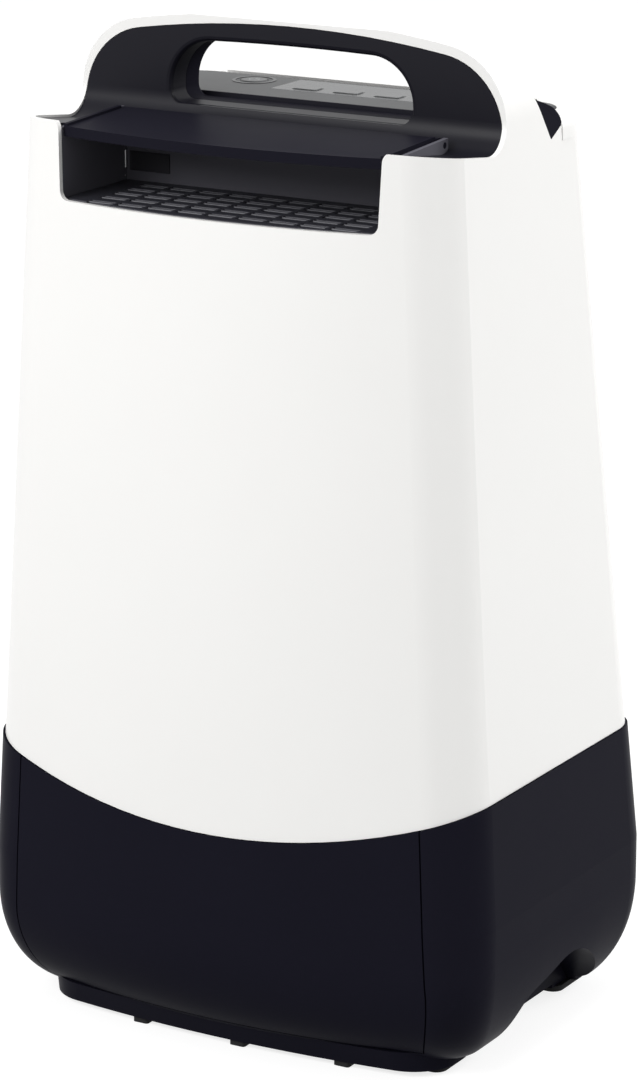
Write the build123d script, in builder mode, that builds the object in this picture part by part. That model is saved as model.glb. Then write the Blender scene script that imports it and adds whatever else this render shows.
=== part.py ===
from build123d import *
import os
from math import asin, atan2, cos, degrees, pi, radians, sin, sqrt, tan

# Desiccant dehumidifier: a tapering case on a wide black base, a loop handle on top with the air
# outlet and its louver in front of it, a water tank that slides out of the front of the base, and
# a filter cover on the back. Millimetres. Z is up, the front faces -Y, and Z = 0 is the floor.
os.makedirs("parts", exist_ok=True)

# ---------------------------------------------------------------- driving dimensions: the outside
height = 522.0              # floor to the crown of the handle
width = 290.0               # across the case; the base stands out a little more
depth = 235.0               # front of the case to the back of the filter cover
case_depth = depth - 13.5   # front to back of the base alone
lean_start = 83.5           # the case is upright below this height and leans in above it
side_lean = 3.19            # degrees from upright
front_lean = 1.24
rear_lean = 5.81
corner_radius = 29.5        # upright corners of the case
front_bow = 19.2            # how far the front falls back from its middle to its corners
foot_height = 3.0           # rubber pads under the two skids
belly_low = 4.0             # where the round bottom would run out flat
belly_rise = 58.9           # height of the round bottom
belly_side = 35.2           # how far it comes in at the sides
belly_front = 45.7
belly_rear = 38.9
belly_power = 2.17          # 2 would be an ellipse, more is fuller
belly_corner = 0.38         # share of the bottom rounding that the upright corners lose
floor_gap = 5.0             # floor to the flat bottom of the base
hollow_z = 12.0             # floor to the underside between the two skids

# ---- the line between black base and white cover
seam_low = 120.5            # height at the middle of the front
seam_rise = 28.0            # how much higher it is at the sides
seam_gap = 0.5              # shadow gap between the two mouldings
skin_step = 1.0             # the base stands this much proud of the cover

# ---- walls and clearances
cover_wall = 2.4
base_wall = 3.0
fit_gap = 0.3               # between mouldings that are assembled once
seat_gap = 0.3              # between a moving piece and what it rests on
shaft_gap = 0.06            # radial, between a shaft and its bearing hole

# ---- loop handle, which is part of the white cover, with black linings
shoulder_radius = 38.0      # outer corners of the loop
crown_radius = 560.0        # the top of the loop is this flat an arc
rim_drop = 4.8              # crown of the black lining below the crown of the loop
hoop_front = -29.5          # front edge of the loop
hoop_rear = 4.0             # rear edge of the loop at its crown
hoop_bevel = 2.8            # the crown is this much higher than the front edge of the loop
shoulder_z = height - 57    # top edge of the case side, just in front of the loop
shoulder_slope = 7.7        # degrees that this edge rises towards the front
shoulder_fillet = 15.0
notch_y = 16.3              # lowest point of the V behind the loop
notch_z = height - 57.7
rear_top_z = height - 46.5  # top edge of the case behind the V
rim_start = 28.0            # from here back the case has a wide round rim
rim_width = 9.0
rim_height = 13.0
rim_round = 8.0
handle_split = -15.0        # joint between the front and rear linings of the loop
handle_back = -0.5          # rear face of the rear lining
grip_half_width = width / 2 - 75.5
grip_bottom = height - 48.5
grip_top = height - 15.8
grip_corner_top = 24.0
grip_corner_bottom = 6.0
grip_round = 2.6            # rounding of the edge that the hand meets

# ---- air outlet in the front, with its louver
outlet_half_width = width / 2 - 53
outlet_taper = 1.4          # the opening is this much narrower at its bottom edge
outlet_bottom = height - 89
outlet_corner = 5.0
outlet_top_corner = 6.0
duct_wall = 2.4
duct_back = -36.0           # front face of the outlet's back wall
duct_bottom = height - 102
grille_thickness = 3.0
slot_length, slot_width = 15.0, 7.0
slot_pitch_x, slot_pitch_y = 17.4, 12.0
slot_columns, slot_rows = 9, 5
slot_slant = -35.0          # degrees, the vanes lean back
louver_pivot_y = -41.0
louver_pivot_z = height - 54.2
louver_thickness = 2.2
louver_lip = 5.2            # height of the stiffening lip along the front edge
louver_barrel = 3.4         # radius of the barrel along the pivot
louver_pin = 1.6            # radius of the pins at its ends
louver_end_gap = 0.8
louver_inset = 4.5          # front edge of the louver behind the outer skin

# ---- control deck behind the handle
deck_front = -0.1
deck_z = height - 46.5
deck_wall = 2.4
deck_skirt = 12.0
window_left, window_right = -width / 2 + 103, width / 2 - 53
window_front, window_rear = depth / 2 - 95.5, depth / 2 - 64.5
window_thickness = 1.2
key_count = 4
key_pitch = 24.0
key_length, key_width, key_height = 14.0, 8.0, 5.0
key_gap = 0.35
key_proud = 0.5
power_x, power_y = -width / 2 + 83, depth / 2 - 77.5
power_radius = 7.0
board_thickness = 1.6

# ---- base, bay, skids and feet
bay_floor = 15.0            # top of the base's floor, on which the tank stands
bay_half_width = width / 2 - 35  # between the side sills at the bay's foot
sill_top = 46.0             # the sills stand over the arches in the sides
window_foot_half = width / 2 - 33.2  # half the width of the tank front at its foot
window_low_half = width / 2 - 22.7  # where its sides turn in towards the foot
window_high_half = width / 2 - 27  # and at the height of the seam
window_foot_z = 14.0
window_low_z = 52.0
window_high_z = 140.0
tank_front_gap = 0.8
skid_half_width = width / 2 - 26.5
front_skid_front, front_skid_back = -depth / 2 + 22, -44.0
rear_skid_front, rear_skid_back = depth / 2 - 67.5, depth / 2 - 29.5
skid_bow = 9.9
skid_flare = 4.0            # the front of the front skid leans out this much at its top
skid_corner = 13.0
pad_spots = (-54.0, 6.0, 66.0)
pad_size = (9.0, 8.0)
end_pad_x, end_pad_size = width / 2 - 41, (22.0, 30.0)
arch_start, arch_peak, arch_end = -44.0, 11.0, depth / 2 - 46.5
arch_top = 43.0
arch_depth_x = width / 2 - 32.5

# ---- tank
tank_half_width = width / 2 - 40
tank_front_y, tank_back_y = -depth / 2 + 17.5, 36.0
tank_top = 103.0
tank_wall = 2.0
tank_corner = 12.0
tank_lid_height = 4.0
lid_hole_radius = 14.0
spout_y = 8.0
tank_travel = 170.0
float_size = (34.0, 26.0, 12.0)
float_pin = 1.5

# ---- inner frame, rotor and fans
roof_z = 113.0
roof_thickness = 3.0
rotor_front, rotor_back = 18.0, 36.0
rotor_radius = min(width / 2 - 54, height / 2 - 170)  # the largest that the case has room for
rotor_z = 171 + rotor_radius
gear_teeth, pinion_teeth = 100, 14
gear_module = 2 * (rotor_radius + 9) / gear_teeth
gear_width = 9.0
gear_backlash = 0.35
hub_radius = 12.0
axle_radius = 4.0
rotor_case_front, rotor_case_back = 12.0, 41.0
rotor_case_gap = 2.0
pinion_angle = -42.0        # degrees from +X, seen from the front
pinion_shaft = 2.5
fan_z = 246.0
fan_radius = width / 2 - 71
fan_front, fan_back = -depth / 2 + 35.5, -42.0
fan_blades = 36
fan_hub_radius = 20.0
fan_shaft_radius = 4.0
scroll_front, scroll_back = -depth / 2 + 27.5, -34.0
scroll_wall = 2.2
scroll_start = fan_radius + 8
scroll_growth = 26.0
fan_motor_radius, fan_motor_length = 37.0, 15.0
regen_x, regen_z = width / 2 - 71, rotor_z + rotor_radius + 21
regen_radius = 30.0
regen_front, regen_back = -14.0, 6.0
regen_blades = 24
condenser_front, condenser_back = 45.0, 63.0
condenser_high = height - 170
condenser_half_width = width / 2 - 47
condenser_tubes = 13
tray_low, tray_high = 122.0, 148.0
tray_front = -6.0

# ---- back
rear_panel_half = width / 2 - 53
rear_window_low, rear_window_high = 182.0, height - 98
rear_window_half = rear_panel_half - 6
intake_low, intake_high = 168.0, height - 84
intake_half = width / 2 - 48
intake_top_proud = 15.4
intake_wall = 2.4
intake_slots = 15
intake_slot_height = 5.0
intake_columns = 3
filter_thickness = 4.0
filter_rim = 6.0
inlet_x, inlet_z = -width / 2 + 57, 66.0
inlet_radius = 7.0
hinge_z = 170.5             # axis of the filter cover's hinge, along its bottom edge
hinge_barrel = 2.5
hinge_pin = 1.5
hinge_x, hinge_length = rear_panel_half - 26, 12.0
screw_x = rear_panel_half - 12
screw_low, screw_high = 154.0, height - 61
screw_head, screw_shank = 3.5, 1.5
screw_length = 10.0

# ---------------------------------------------------------------- worked out from those
front_y = -depth / 2
rear_y = front_y + case_depth
seam_radius = (width**2 / 4 + seam_rise**2) / (2 * seam_rise)
reach = depth + width       # longer than anything it cuts


def lean(z, angle):
    """How far a wall that leans by angle has come in at height z."""
    return max(0.0, z - lean_start) * tan(radians(angle))


def case_half_width(z):
    return width / 2 - lean(z, side_lean)


def case_front(z):
    return front_y + lean(z, front_lean)


def case_rear(z):
    return rear_y - lean(z, rear_lean)


def bow_at(x, z):
    """How far the bowed front has fallen back at x."""
    half = case_half_width(z)
    radius = (half**2 + front_bow**2) / (2 * front_bow)
    return radius - sqrt(radius**2 - x**2)


def belly(z):
    """Share of the bottom rounding reached at height z: 0 on the upright walls, 1 at its lowest point."""
    drop = min(1.0, max(0.0, (belly_low + belly_rise - z) / belly_rise))
    return 1 - (1 - drop**belly_power) ** (1 / belly_power)


def seam_height(x):
    return seam_low + seam_radius - sqrt(seam_radius**2 - x**2)


seam_side = seam_height(case_half_width(seam_low + seam_rise))


def case_plan(z, inset, proud=0.0, corner=corner_radius, share=0.0):
    """Plan of the case at height z: bowed front, straight sides and back, round corners."""
    half = case_half_width(z) + proud - inset - belly_side * share
    front = case_front(z) - proud + inset + belly_front * share
    rear = case_rear(z) + proud - inset - belly_rear * share
    with BuildSketch(Plane.XY.offset(z)) as plan:
        with BuildLine():
            ThreePointArc((-half, front + front_bow), (0, front), (half, front + front_bow))
            Polyline((half, front + front_bow), (half, rear), (-half, rear), (-half, front + front_bow))
        make_face()
        fillet(plan.vertices(), corner)
    return plan.sketch


def arch_outline(inset, drop, low):
    """Front view of the cover: leaning sides, round shoulders and the flat-arched crown."""
    hair = 0.05
    top = height - drop
    low_half = case_half_width(low) + hair - inset
    high_half = case_half_width(top) + hair - inset
    corner_z = top - crown_radius + sqrt(crown_radius**2 - high_half**2)
    with BuildSketch(Plane.XZ) as outline:
        with BuildLine():
            Polyline((-high_half, corner_z), (-low_half, low), (low_half, low), (high_half, corner_z))
            ThreePointArc((high_half, corner_z), (0, top), (-high_half, corner_z))
        make_face()
        fillet(outline.vertices().group_by(Axis.Y)[-1], shoulder_radius)
    return outline.sketch


cover_low = seam_low - 12.0


def cover_form(inset, drop):
    """Solid inside the cover's skin by inset, with its crown lower by drop."""
    with BuildPart() as form:
        for z in (cover_low, height + 2):
            add(case_plan(z, inset, corner=corner_radius - inset))
        loft(ruled=True)
    with BuildPart() as arch:
        add(arch_outline(inset, drop, cover_low - 1))
        extrude(amount=reach, dir=(0, 1, 0), both=True)
        add(form.part, mode=Mode.INTERSECT)
    return arch.part


def base_form(inset, low, high):
    """Solid inside the base's skin from low to high, with the round bottom."""
    knee = belly_low + belly_rise
    levels = [belly_low + belly_rise * rise for rise in (0.05, 0.11, 0.2, 0.33, 0.5, 0.72, 1)]
    corner = corner_radius - 0.4 * inset
    with BuildPart() as form:
        for z in [low] + [z for z in levels if z > low + 1]:
            share = belly(z)
            add(case_plan(z, inset, skin_step, corner - belly_corner * belly_front * share, share))
        loft()
        for start, end in ((knee, lean_start), (lean_start, high)):
            for z in (start, end):
                add(case_plan(z, inset, skin_step, corner))
            loft(ruled=True)
    return form.part


def above_seam(lift):
    """Everything over the line between base and cover, raised by lift."""
    half = width / 2 + 5
    edge = seam_height(half) + lift
    with BuildPart() as form:
        with BuildSketch(Plane.XZ):
            with BuildLine():
                ThreePointArc((-half, edge), (0, seam_low + lift), (half, edge))
                Polyline((half, edge), (half, height + 20), (-half, height + 20), (-half, edge))
            make_face()
        extrude(amount=reach)
        with BuildSketch(Plane.XY.offset(seam_side + lift)):
            with Locations((0, reach / 2)):
                Rectangle(2 * half, reach)
        extrude(amount=height + 20 - seam_side - lift)
    return form.part


def grip_outline(y, grow):
    """The hand hole of the loop at depth y, with wide round upper corners, larger by grow all round."""
    side = grip_half_width + grow
    low = grip_bottom - grow
    high = grip_top + grow
    with BuildSketch(Plane.XZ.offset(-y)) as outline:
        with BuildLine():
            Polyline((-side, high - 1), (-side, low), (side, low), (side, high - 1))
            ThreePointArc((side, high - 1), (0, high + 0.6), (-side, high - 1))
        make_face()
        fillet(outline.vertices().group_by(Axis.Y)[-1], grip_corner_top + grow)
        fillet(outline.vertices().group_by(Axis.Y)[0], grip_corner_bottom + grow)
    return outline.sketch


def grip_hole():
    """The hand hole with its rounded front and rear edges."""
    with BuildPart() as hole:
        add(grip_outline(hoop_front - 30, 0))
        extrude(amount=rear_y - hoop_front, dir=(0, 1, 0))
        for edge, way in ((hoop_front, 1), (handle_back, -1)):
            for turn in (0, 30, 60, 90):
                inward = grip_round * (1 - cos(radians(turn)))
                grow = grip_round * (1 - sin(radians(turn)))
                add(grip_outline(edge + way * inward, grow))
            loft(ruled=True)
    return hole.part


def side_edge(y):
    """Height of the case's top edge in front of the loop."""
    return shoulder_z + (hoop_front - shoulder_fillet - y) * tan(radians(shoulder_slope))


cover_skin = cover_form(0, 0)
cover_inside = cover_form(cover_wall, rim_drop)
lining_form = cover_form(cover_wall + fit_gap, rim_drop + fit_gap)

# round rim along the top of the case behind the loop
rim_low = rear_top_z - rim_height
with BuildPart() as rear_cap:
    for z in (rim_low, rear_top_z):
        add(case_plan(z, 0))
    loft(ruled=True)
    fillet(rear_cap.faces().sort_by(Axis.Z)[-1].edges(), rim_round)
with BuildPart() as rear_rim:
    add(rear_cap.part)
    add(cover_form(rim_width, rim_drop), mode=Mode.SUBTRACT)
    with Locations((0, rim_start + reach / 2, height / 2)):
        Box(reach, reach, 2 * height, mode=Mode.INTERSECT)

# ---------------------------------------------------------------- white front cover
# One moulding: bowed front, both sides, the rear corners and the arch of the loop handle.
with BuildPart() as front_cover:
    add(cover_skin)
    add(cover_inside, mode=Mode.SUBTRACT)
    add(above_seam(seam_gap), mode=Mode.INTERSECT)
    with Locations((0, rim_start + reach / 2, rim_low + height / 2)):
        Box(reach, reach, height, mode=Mode.SUBTRACT)
    add(rear_rim.part)
    with BuildSketch(Plane.YZ):
        with BuildLine():
            Polyline(
                (hoop_front, height - hoop_bevel), (hoop_front, side_edge(hoop_front)),
                (front_y - 10, side_edge(front_y - 10)), (front_y - 10, cover_low - 2),
                (rear_y + 10, cover_low - 2), (rear_y + 10, rear_top_z),
                (rim_start + 2, rear_top_z), (rim_start - 0.5, notch_z + 5.5), (notch_y, notch_z),
                (hoop_rear - 6.6, notch_z + 29.5),
                (hoop_rear, height - 0.4),
            )
            ThreePointArc(
                (hoop_rear, height - 0.4), (hoop_rear - 8, height), (hoop_front, height - hoop_bevel)
            )
        make_face()
        fillet(vertices().sort_by_distance((hoop_front, side_edge(hoop_front)))[0], shoulder_fillet)
        fillet(vertices().sort_by_distance((rim_start + 2, rear_top_z))[0], 3)
        fillet(vertices().sort_by_distance((notch_y, notch_z))[0], 1)
        fillet(vertices().sort_by_distance((hoop_rear - 6.6, notch_z + 29.5))[0], 22)
    extrude(amount=reach, both=True, mode=Mode.INTERSECT)
    # the notch for the air outlet, open at its top
    with BuildSketch(Plane.XZ.offset(-hoop_front)):
        low_half = outlet_half_width - outlet_taper
        edge_z = side_edge(case_front(shoulder_z))
        side = outlet_half_width
        turn = outlet_top_corner
        dip = turn * (1 - sqrt(0.5))
        with BuildLine():
            Polyline((-side, edge_z - turn), (-low_half, outlet_bottom), (low_half, outlet_bottom), (side, edge_z - turn))
            ThreePointArc((side, edge_z - turn), (side + dip, edge_z - dip), (side + turn, edge_z))
            Polyline((side + turn, edge_z), (side + turn, height), (-side - turn, height), (-side - turn, edge_z))
            ThreePointArc((-side - turn, edge_z), (-side - dip, edge_z - dip), (-side, edge_z - turn))
        make_face()
        fillet(vertices().group_by(Axis.Y)[0], outlet_corner)
    extrude(amount=reach, mode=Mode.SUBTRACT)
    # the back is open for the rear panel
    with BuildSketch(Plane.XZ.offset(-reach)):
        with Locations((0, height)):
            Rectangle(2 * rear_panel_half, 2 * height)
    extrude(amount=reach - case_rear(height) + corner_radius, mode=Mode.SUBTRACT)
front_cover.part.label = "front_cover"
export_step(front_cover.part, "parts/front_cover.step")



# ---------------------------------------------------------------- black base
# A deep tub: skirt and floor in one moulding, standing on two skids, with an arch in each side,
# a bay for the tank that is open to the front, and a sill along each side of the bay's foot.
base_top = seam_side + 4
base_skin = base_form(0, floor_gap, base_top)

sill_length = arch_end - arch_start + 4
with BuildPart() as sills:
    for side in (-1, 1):
        with Locations((side * (bay_half_width + reach / 2), (arch_start + arch_end) / 2, sill_top / 2)):
            Box(reach, sill_length, sill_top)
    add(base_skin, mode=Mode.INTERSECT)

with BuildPart() as arches:
    with BuildSketch(Plane.YZ.offset(arch_depth_x)) as arch:
        with BuildLine():
            Spline(
                (arch_start, 0), (arch_start + 4, 18), (arch_start + 11, 30.5), (arch_start + 28, 36.5),
                (arch_peak, arch_top), (arch_end - 39, 37.5), (arch_end - 21.5, 25), (arch_end - 5, 8),
                (arch_end, 0),
            )
            Line((arch_end, 0), (arch_start, 0))
        make_face()
    extrude(amount=reach)
    mirror(about=Plane.YZ)


def skid_plan(z, front, back, bow, corner):
    """Plan of a bar under the base, with a bowed front and round corners."""
    with BuildSketch(Plane.XY.offset(z)) as plan:
        with BuildLine():
            ThreePointArc((-skid_half_width, front + bow), (0, front), (skid_half_width, front + bow))
            Polyline(
                (skid_half_width, front + bow), (skid_half_width, back), (-skid_half_width, back),
                (-skid_half_width, front + bow),
            )
        make_face()
        fillet(plan.vertices().group_by(Axis.Y)[-1], skid_corner)
        fillet(plan.vertices().group_by(Axis.Y)[0], corner)
    return plan.sketch


def skid(front, back, bow, flare, corner):
    """Bar under the base, from the pads up to the bay's floor, its front leaning out by flare."""
    with BuildPart() as bar:
        add(skid_plan(foot_height, front, back, bow, corner))
        add(skid_plan(bay_floor - 0.6, front - flare, back, bow, corner + flare))
        loft(ruled=True)
    return bar.part


front_skid = skid(front_skid_front, front_skid_back, skid_bow, skid_flare, 2 * skid_corner)
rear_skid = skid(rear_skid_front, rear_skid_back, 0.5, 0.0, skid_corner)


def front_window(gap, low):
    """Prism through the front of the base where the tank's front panel sits, narrower by gap."""
    foot = window_foot_half - gap
    turn = (window_foot_half + window_low_half) / 2 + 2.6 - gap
    side = window_low_half - gap
    high = window_high_half - gap
    middle_z = (window_foot_z + window_low_z) / 2
    with BuildPart() as form:
        with BuildSketch(Plane.XZ.offset(-tank_front_y - 40)):
            with BuildLine():
                ThreePointArc((side, window_low_z), (turn, middle_z), (foot, window_foot_z))
                Line((foot, window_foot_z), (-foot, window_foot_z))
                ThreePointArc((-foot, window_foot_z), (-turn, middle_z), (-side, window_low_z))
                Polyline(
                    (-side, window_low_z), (-high, window_high_z), (-high, height / 2), (high, height / 2),
                    (high, window_high_z), (side, window_low_z),
                )
            make_face()
        extrude(amount=reach)
        with Locations((0, 0, low + height / 2)):
            Box(2 * reach, 2 * reach, height, mode=Mode.INTERSECT)
    return form.part


locating_rib = 2.0
rib_height = 8.0
cover_rib_inner = cover_form(cover_wall + fit_gap + locating_rib, rim_drop)

# rib along the top of the base that locates the cover, from behind the tank's front round the back
rib_start = tank_front_y + 60
with BuildPart() as rib_foot:
    add(cover_form(base_wall - skin_step - 0.5, rim_drop))
    with Locations((0, reach / 2 + rib_start, seam_side - 1.5 - rib_height / 2)):
        Box(reach, reach, rib_height, mode=Mode.INTERSECT)
with BuildPart() as rib:
    add(lining_form)
    with Locations((0, reach / 2 + rib_start, seam_side)):
        Box(reach, reach, 2 * rib_height, mode=Mode.INTERSECT)
    add(rib_foot.part)
    add(cover_rib_inner, mode=Mode.SUBTRACT)

with BuildPart() as base:
    add(base_skin)
    # the underside is hollow between the skids
    with Locations((0, (front_skid_back + rear_skid_front) / 2, hollow_z / 2)):
        Box(2 * arch_depth_x + 1, rear_skid_front - front_skid_back, hollow_z, mode=Mode.SUBTRACT)
    add(front_skid)
    add(rear_skid)
    add(base_form(base_wall, bay_floor, base_top + 10), mode=Mode.SUBTRACT)
    add(sills.part)
    add(arches.part, mode=Mode.SUBTRACT)
    add(above_seam(0), mode=Mode.SUBTRACT)
    add(front_window(0, bay_floor), mode=Mode.SUBTRACT)
    add(rib.part)
    for x in (-screw_x, screw_x):
        with Locations(Location((x, rear_y, screw_low), (90, 0, 0))):
            Cylinder(screw_shank + 0.05, 60, mode=Mode.SUBTRACT)
    with Locations(Location((inlet_x, rear_y, inlet_z), (90, 0, 0))):
        Cylinder(inlet_radius + shaft_gap, 6 * base_wall, mode=Mode.SUBTRACT)
base.part.label = "base"
export_step(base.part, "parts/base.step")

# rubber pads under the skids: small ones along the front and long ones at the four ends
with BuildPart() as front_feet:
    for x in pad_spots:
        edge = front_skid_front + skid_bow * (x / skid_half_width) ** 2
        with BuildSketch():
            with Locations((x, edge + 1.0 + pad_size[1] / 2)):
                RectangleRounded(pad_size[0], pad_size[1], 1.5)
        extrude(amount=foot_height)
    with BuildSketch():
        with Locations((-end_pad_x, front_skid_back - 1 - end_pad_size[1] / 2)):
            RectangleRounded(*end_pad_size, 6)
        with Locations((end_pad_x, front_skid_back - 1 - end_pad_size[1] / 2)):
            RectangleRounded(*end_pad_size, 6)
    extrude(amount=foot_height)
front_feet.part.label = "front_feet"
export_step(front_feet.part, "parts/front_feet.step")

with BuildPart() as rear_feet:
    with BuildSketch():
        with GridLocations(2 * end_pad_x, 1, 2, 1):
            with Locations((0, (rear_skid_front + rear_skid_back) / 2)):
                RectangleRounded(end_pad_size[0], end_pad_size[1], 6)
    extrude(amount=foot_height)
rear_feet.part.label = "rear_feet"
export_step(rear_feet.part, "parts/rear_feet.step")

# bushing for the mains lead, pressed into the back of the base
with BuildPart() as cord_inlet:
    with BuildSketch(Plane.XZ.offset(-rear_y - skin_step)):
        with Locations((inlet_x, inlet_z)):
            Circle(inlet_radius + 2.5)
    extrude(amount=-2.5)
    with BuildSketch(Plane.XZ.offset(-rear_y - skin_step)):
        with Locations((inlet_x, inlet_z)):
            Circle(inlet_radius)
    extrude(amount=base_wall + 2)
    with BuildSketch(Plane.XZ.offset(-rear_y + 2 * base_wall)):
        with Locations((inlet_x, inlet_z)):
            Circle(inlet_radius / 2)
    extrude(amount=-6 * base_wall, mode=Mode.SUBTRACT)
cord_inlet.part.label = "cord_inlet"
export_step(cord_inlet.part, "parts/cord_inlet.step")

# ---------------------------------------------------------------- tank, all of it slides out together
tank_floor = bay_floor + seat_gap
side_gap = 5.0              # from the base's skin to the tank's sides under the belly

with BuildPart() as tank:
    add(base_form(side_gap, tank_floor, tank_top))
    with Locations((0, (tank_front_y + tank_back_y) / 2, height / 2)):
        Box(2 * tank_half_width, tank_back_y - tank_front_y, height, mode=Mode.INTERSECT)
    fillet(edges().filter_by(Axis.Z).group_by(Axis.Y)[-1], tank_corner)
    offset(amount=-tank_wall, openings=faces().sort_by(Axis.Z)[-1])
    # ledge under the float's free end
    with Locations((tank_half_width - 11, -22, 68.0)):
        Box(22, 10, 3)
tank.part.label = "tank"
export_step(tank.part, "parts/tank.step")

with BuildPart() as tank_front:
    add(base_skin)
    add(front_window(tank_front_gap, tank_floor + seat_gap), mode=Mode.INTERSECT)
    add(base_form(base_wall, floor_gap, base_top), mode=Mode.SUBTRACT)
    add(above_seam(0), mode=Mode.SUBTRACT)
    with Locations((0, -reach / 2 + tank_front_y + 20, height / 2)):
        Box(reach, reach, height, mode=Mode.INTERSECT)
    # ribs back to the bucket
    with BuildPart(mode=Mode.PRIVATE) as ribs:
        for x in (-84, -42, 0, 42, 84):
            with Locations((x, tank_front_y - 9, 66)):
                Box(2, 18, 60)
        add(base_form(base_wall - 0.5, floor_gap, base_top), mode=Mode.INTERSECT)
    add(ribs.part)
tank_front.part.label = "tank_front"
export_step(tank_front.part, "parts/tank_front.step")

float_x, float_pivot_y, float_z = tank_half_width - 28, 16.0, 76.0
with BuildPart() as tank_lid:
    with BuildSketch(Plane.XY.offset(tank_top)):
        with Locations((0, (tank_front_y + tank_back_y) / 2)):
            RectangleRounded(2 * tank_half_width, tank_back_y - tank_front_y, tank_corner)
        with Locations((0, spout_y)):
            Circle(lid_hole_radius, mode=Mode.SUBTRACT)
    extrude(amount=tank_wall)
    with BuildSketch(Plane.XY.offset(tank_top)):
        with Locations((0, (tank_front_y + tank_back_y) / 2)):
            RectangleRounded(2 * tank_half_width, tank_back_y - tank_front_y, tank_corner)
            RectangleRounded(
                2 * (tank_half_width - 2), tank_back_y - tank_front_y - 4, tank_corner - 2,
                mode=Mode.SUBTRACT,
            )
        with Locations((0, spout_y)):
            Circle(lid_hole_radius + 2)
            Circle(lid_hole_radius, mode=Mode.SUBTRACT)
    extrude(amount=tank_lid_height)
    # two lugs that carry the float's pins
    for side in (-1, 1):
        lug_x = float_x + side * (float_size[0] / 2 + 3)
        with Locations((lug_x, float_pivot_y, (float_z + tank_top) / 2 - 2)):
            Box(3, 9, tank_top - float_z + 4)
        with Locations(Location((lug_x, float_pivot_y, float_z), (0, 90, 0))):
            Cylinder(float_pin + shaft_gap, 6, mode=Mode.SUBTRACT)
tank_lid.part.label = "tank_lid"
export_step(tank_lid.part, "parts/tank_lid.step")

with BuildPart() as tank_float:
    with Locations((float_x, float_pivot_y - 12 - float_size[1] / 2, float_z)):
        Box(*float_size)
        fillet(edges().filter_by(Axis.Z), 4)
    with Locations((float_x, float_pivot_y - 6, float_z)):
        Box(10, 16, 3)
    with Locations(Location((float_x, float_pivot_y, float_z), (0, 90, 0))):
        Cylinder(float_pin * 2, float_size[0] + 2)
        Cylinder(float_pin, float_size[0] + 8)
tank_float.part.label = "float"
export_step(tank_float.part, "parts/float.step")

# ---------------------------------------------------------------- loop handle: black linings
ledge_drop = 1.3            # black ledges beside the louver, below the case's top edge
ledge_thickness = 2.4
lining_foot = height - 67
bay_half = outlet_half_width + 0.2 + duct_wall + fit_gap
bay_back = louver_pivot_y + louver_barrel + 0.4


def ledge_z(y):
    return side_edge(y) - ledge_drop


with BuildPart() as handle_front:
    ledge_end = front_y + 5
    under = ledge_drop + ledge_thickness
    column_front = duct_back + duct_wall + fit_gap
    with BuildSketch(Plane.YZ) as profile:
        with BuildLine():
            Polyline(
                (handle_split, lining_foot), (handle_split, height), (hoop_front, height),
                (hoop_front, ledge_z(hoop_front)), (ledge_end, ledge_z(ledge_end)),
                (ledge_end, side_edge(ledge_end) - under), (column_front, side_edge(column_front) - under),
                (column_front, lining_foot), (handle_split, lining_foot),
            )
        make_face()
        fillet(vertices().sort_by_distance((hoop_front, ledge_z(hoop_front)))[0], shoulder_fillet)
    extrude(amount=reach, both=True)
    add(lining_form, mode=Mode.INTERSECT)
    with Locations((0, bay_back - reach / 2, height)):
        Box(2 * bay_half, reach, height, mode=Mode.SUBTRACT)
    add(grip_hole(), mode=Mode.SUBTRACT)
handle_front.part.label = "handle_front"
export_step(handle_front.part, "parts/handle_front.step")

with BuildPart() as handle_rear:
    add(lining_form)
    with Locations((0, (handle_split + fit_gap + handle_back) / 2, (lining_foot + height) / 2)):
        Box(reach, handle_back - handle_split - fit_gap, height - lining_foot, mode=Mode.INTERSECT)
    add(grip_hole(), mode=Mode.SUBTRACT)
handle_rear.part.label = "handle_rear"
export_step(handle_rear.part, "parts/handle_rear.step")

# ---------------------------------------------------------------- air outlet
# Duct with a cheek at each end of the louver, the floor grille with slanted vanes, and the louver.
duct_half = outlet_half_width + 0.2
grille_top = outlet_bottom
cheek_rear, cheek_front = height - 51.1, height - 54.6
with BuildPart() as outlet_duct:
    with BuildSketch(Plane.YZ) as cheek:
        with BuildLine():
            Polyline(
                (duct_back + duct_wall, duct_bottom), (duct_back + duct_wall, lining_foot),
                (bay_back - fit_gap, lining_foot), (bay_back - fit_gap, cheek_rear),
                (front_y, cheek_front), (front_y, duct_bottom), (duct_back + duct_wall, duct_bottom),
            )
        make_face()
    extrude(amount=duct_half + duct_wall, both=True)
    add(lining_form, mode=Mode.INTERSECT)
    with BuildPart(mode=Mode.PRIVATE) as hollow:
        add(cover_form(cover_wall + fit_gap + duct_wall, rim_drop))
        with Locations((0, duct_back - reach / 2, height / 2)):
            Box(2 * duct_half, reach, height, mode=Mode.INTERSECT)
    add(hollow.part, mode=Mode.SUBTRACT)
    with Locations((0, duct_back - reach / 2, grille_top - 0.8 + height / 2)):
        Box(2 * duct_half, reach, height, mode=Mode.SUBTRACT)
    # shelf that the grille lies on
    with BuildPart(mode=Mode.PRIVATE) as shelf:
        add(lining_form)
        with Locations((0, duct_back + 1 - reach / 2, grille_top - grille_thickness - 1.5)):
            Box(2 * duct_half + 1, reach, 3, mode=Mode.INTERSECT)
        with Locations((0, (duct_back - 4 + front_y + 24) / 2, grille_top - grille_thickness)):
            Box(2 * duct_half - 10, duct_back - 4 - front_y - 24, 12, mode=Mode.SUBTRACT)
    add(shelf.part)
    with Locations(Location((0, louver_pivot_y, louver_pivot_z), (0, 90, 0))):
        Cylinder(louver_pin + shaft_gap, reach, mode=Mode.SUBTRACT)
outlet_duct.part.label = "outlet_duct"
export_step(outlet_duct.part, "parts/outlet_duct.step")

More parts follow.
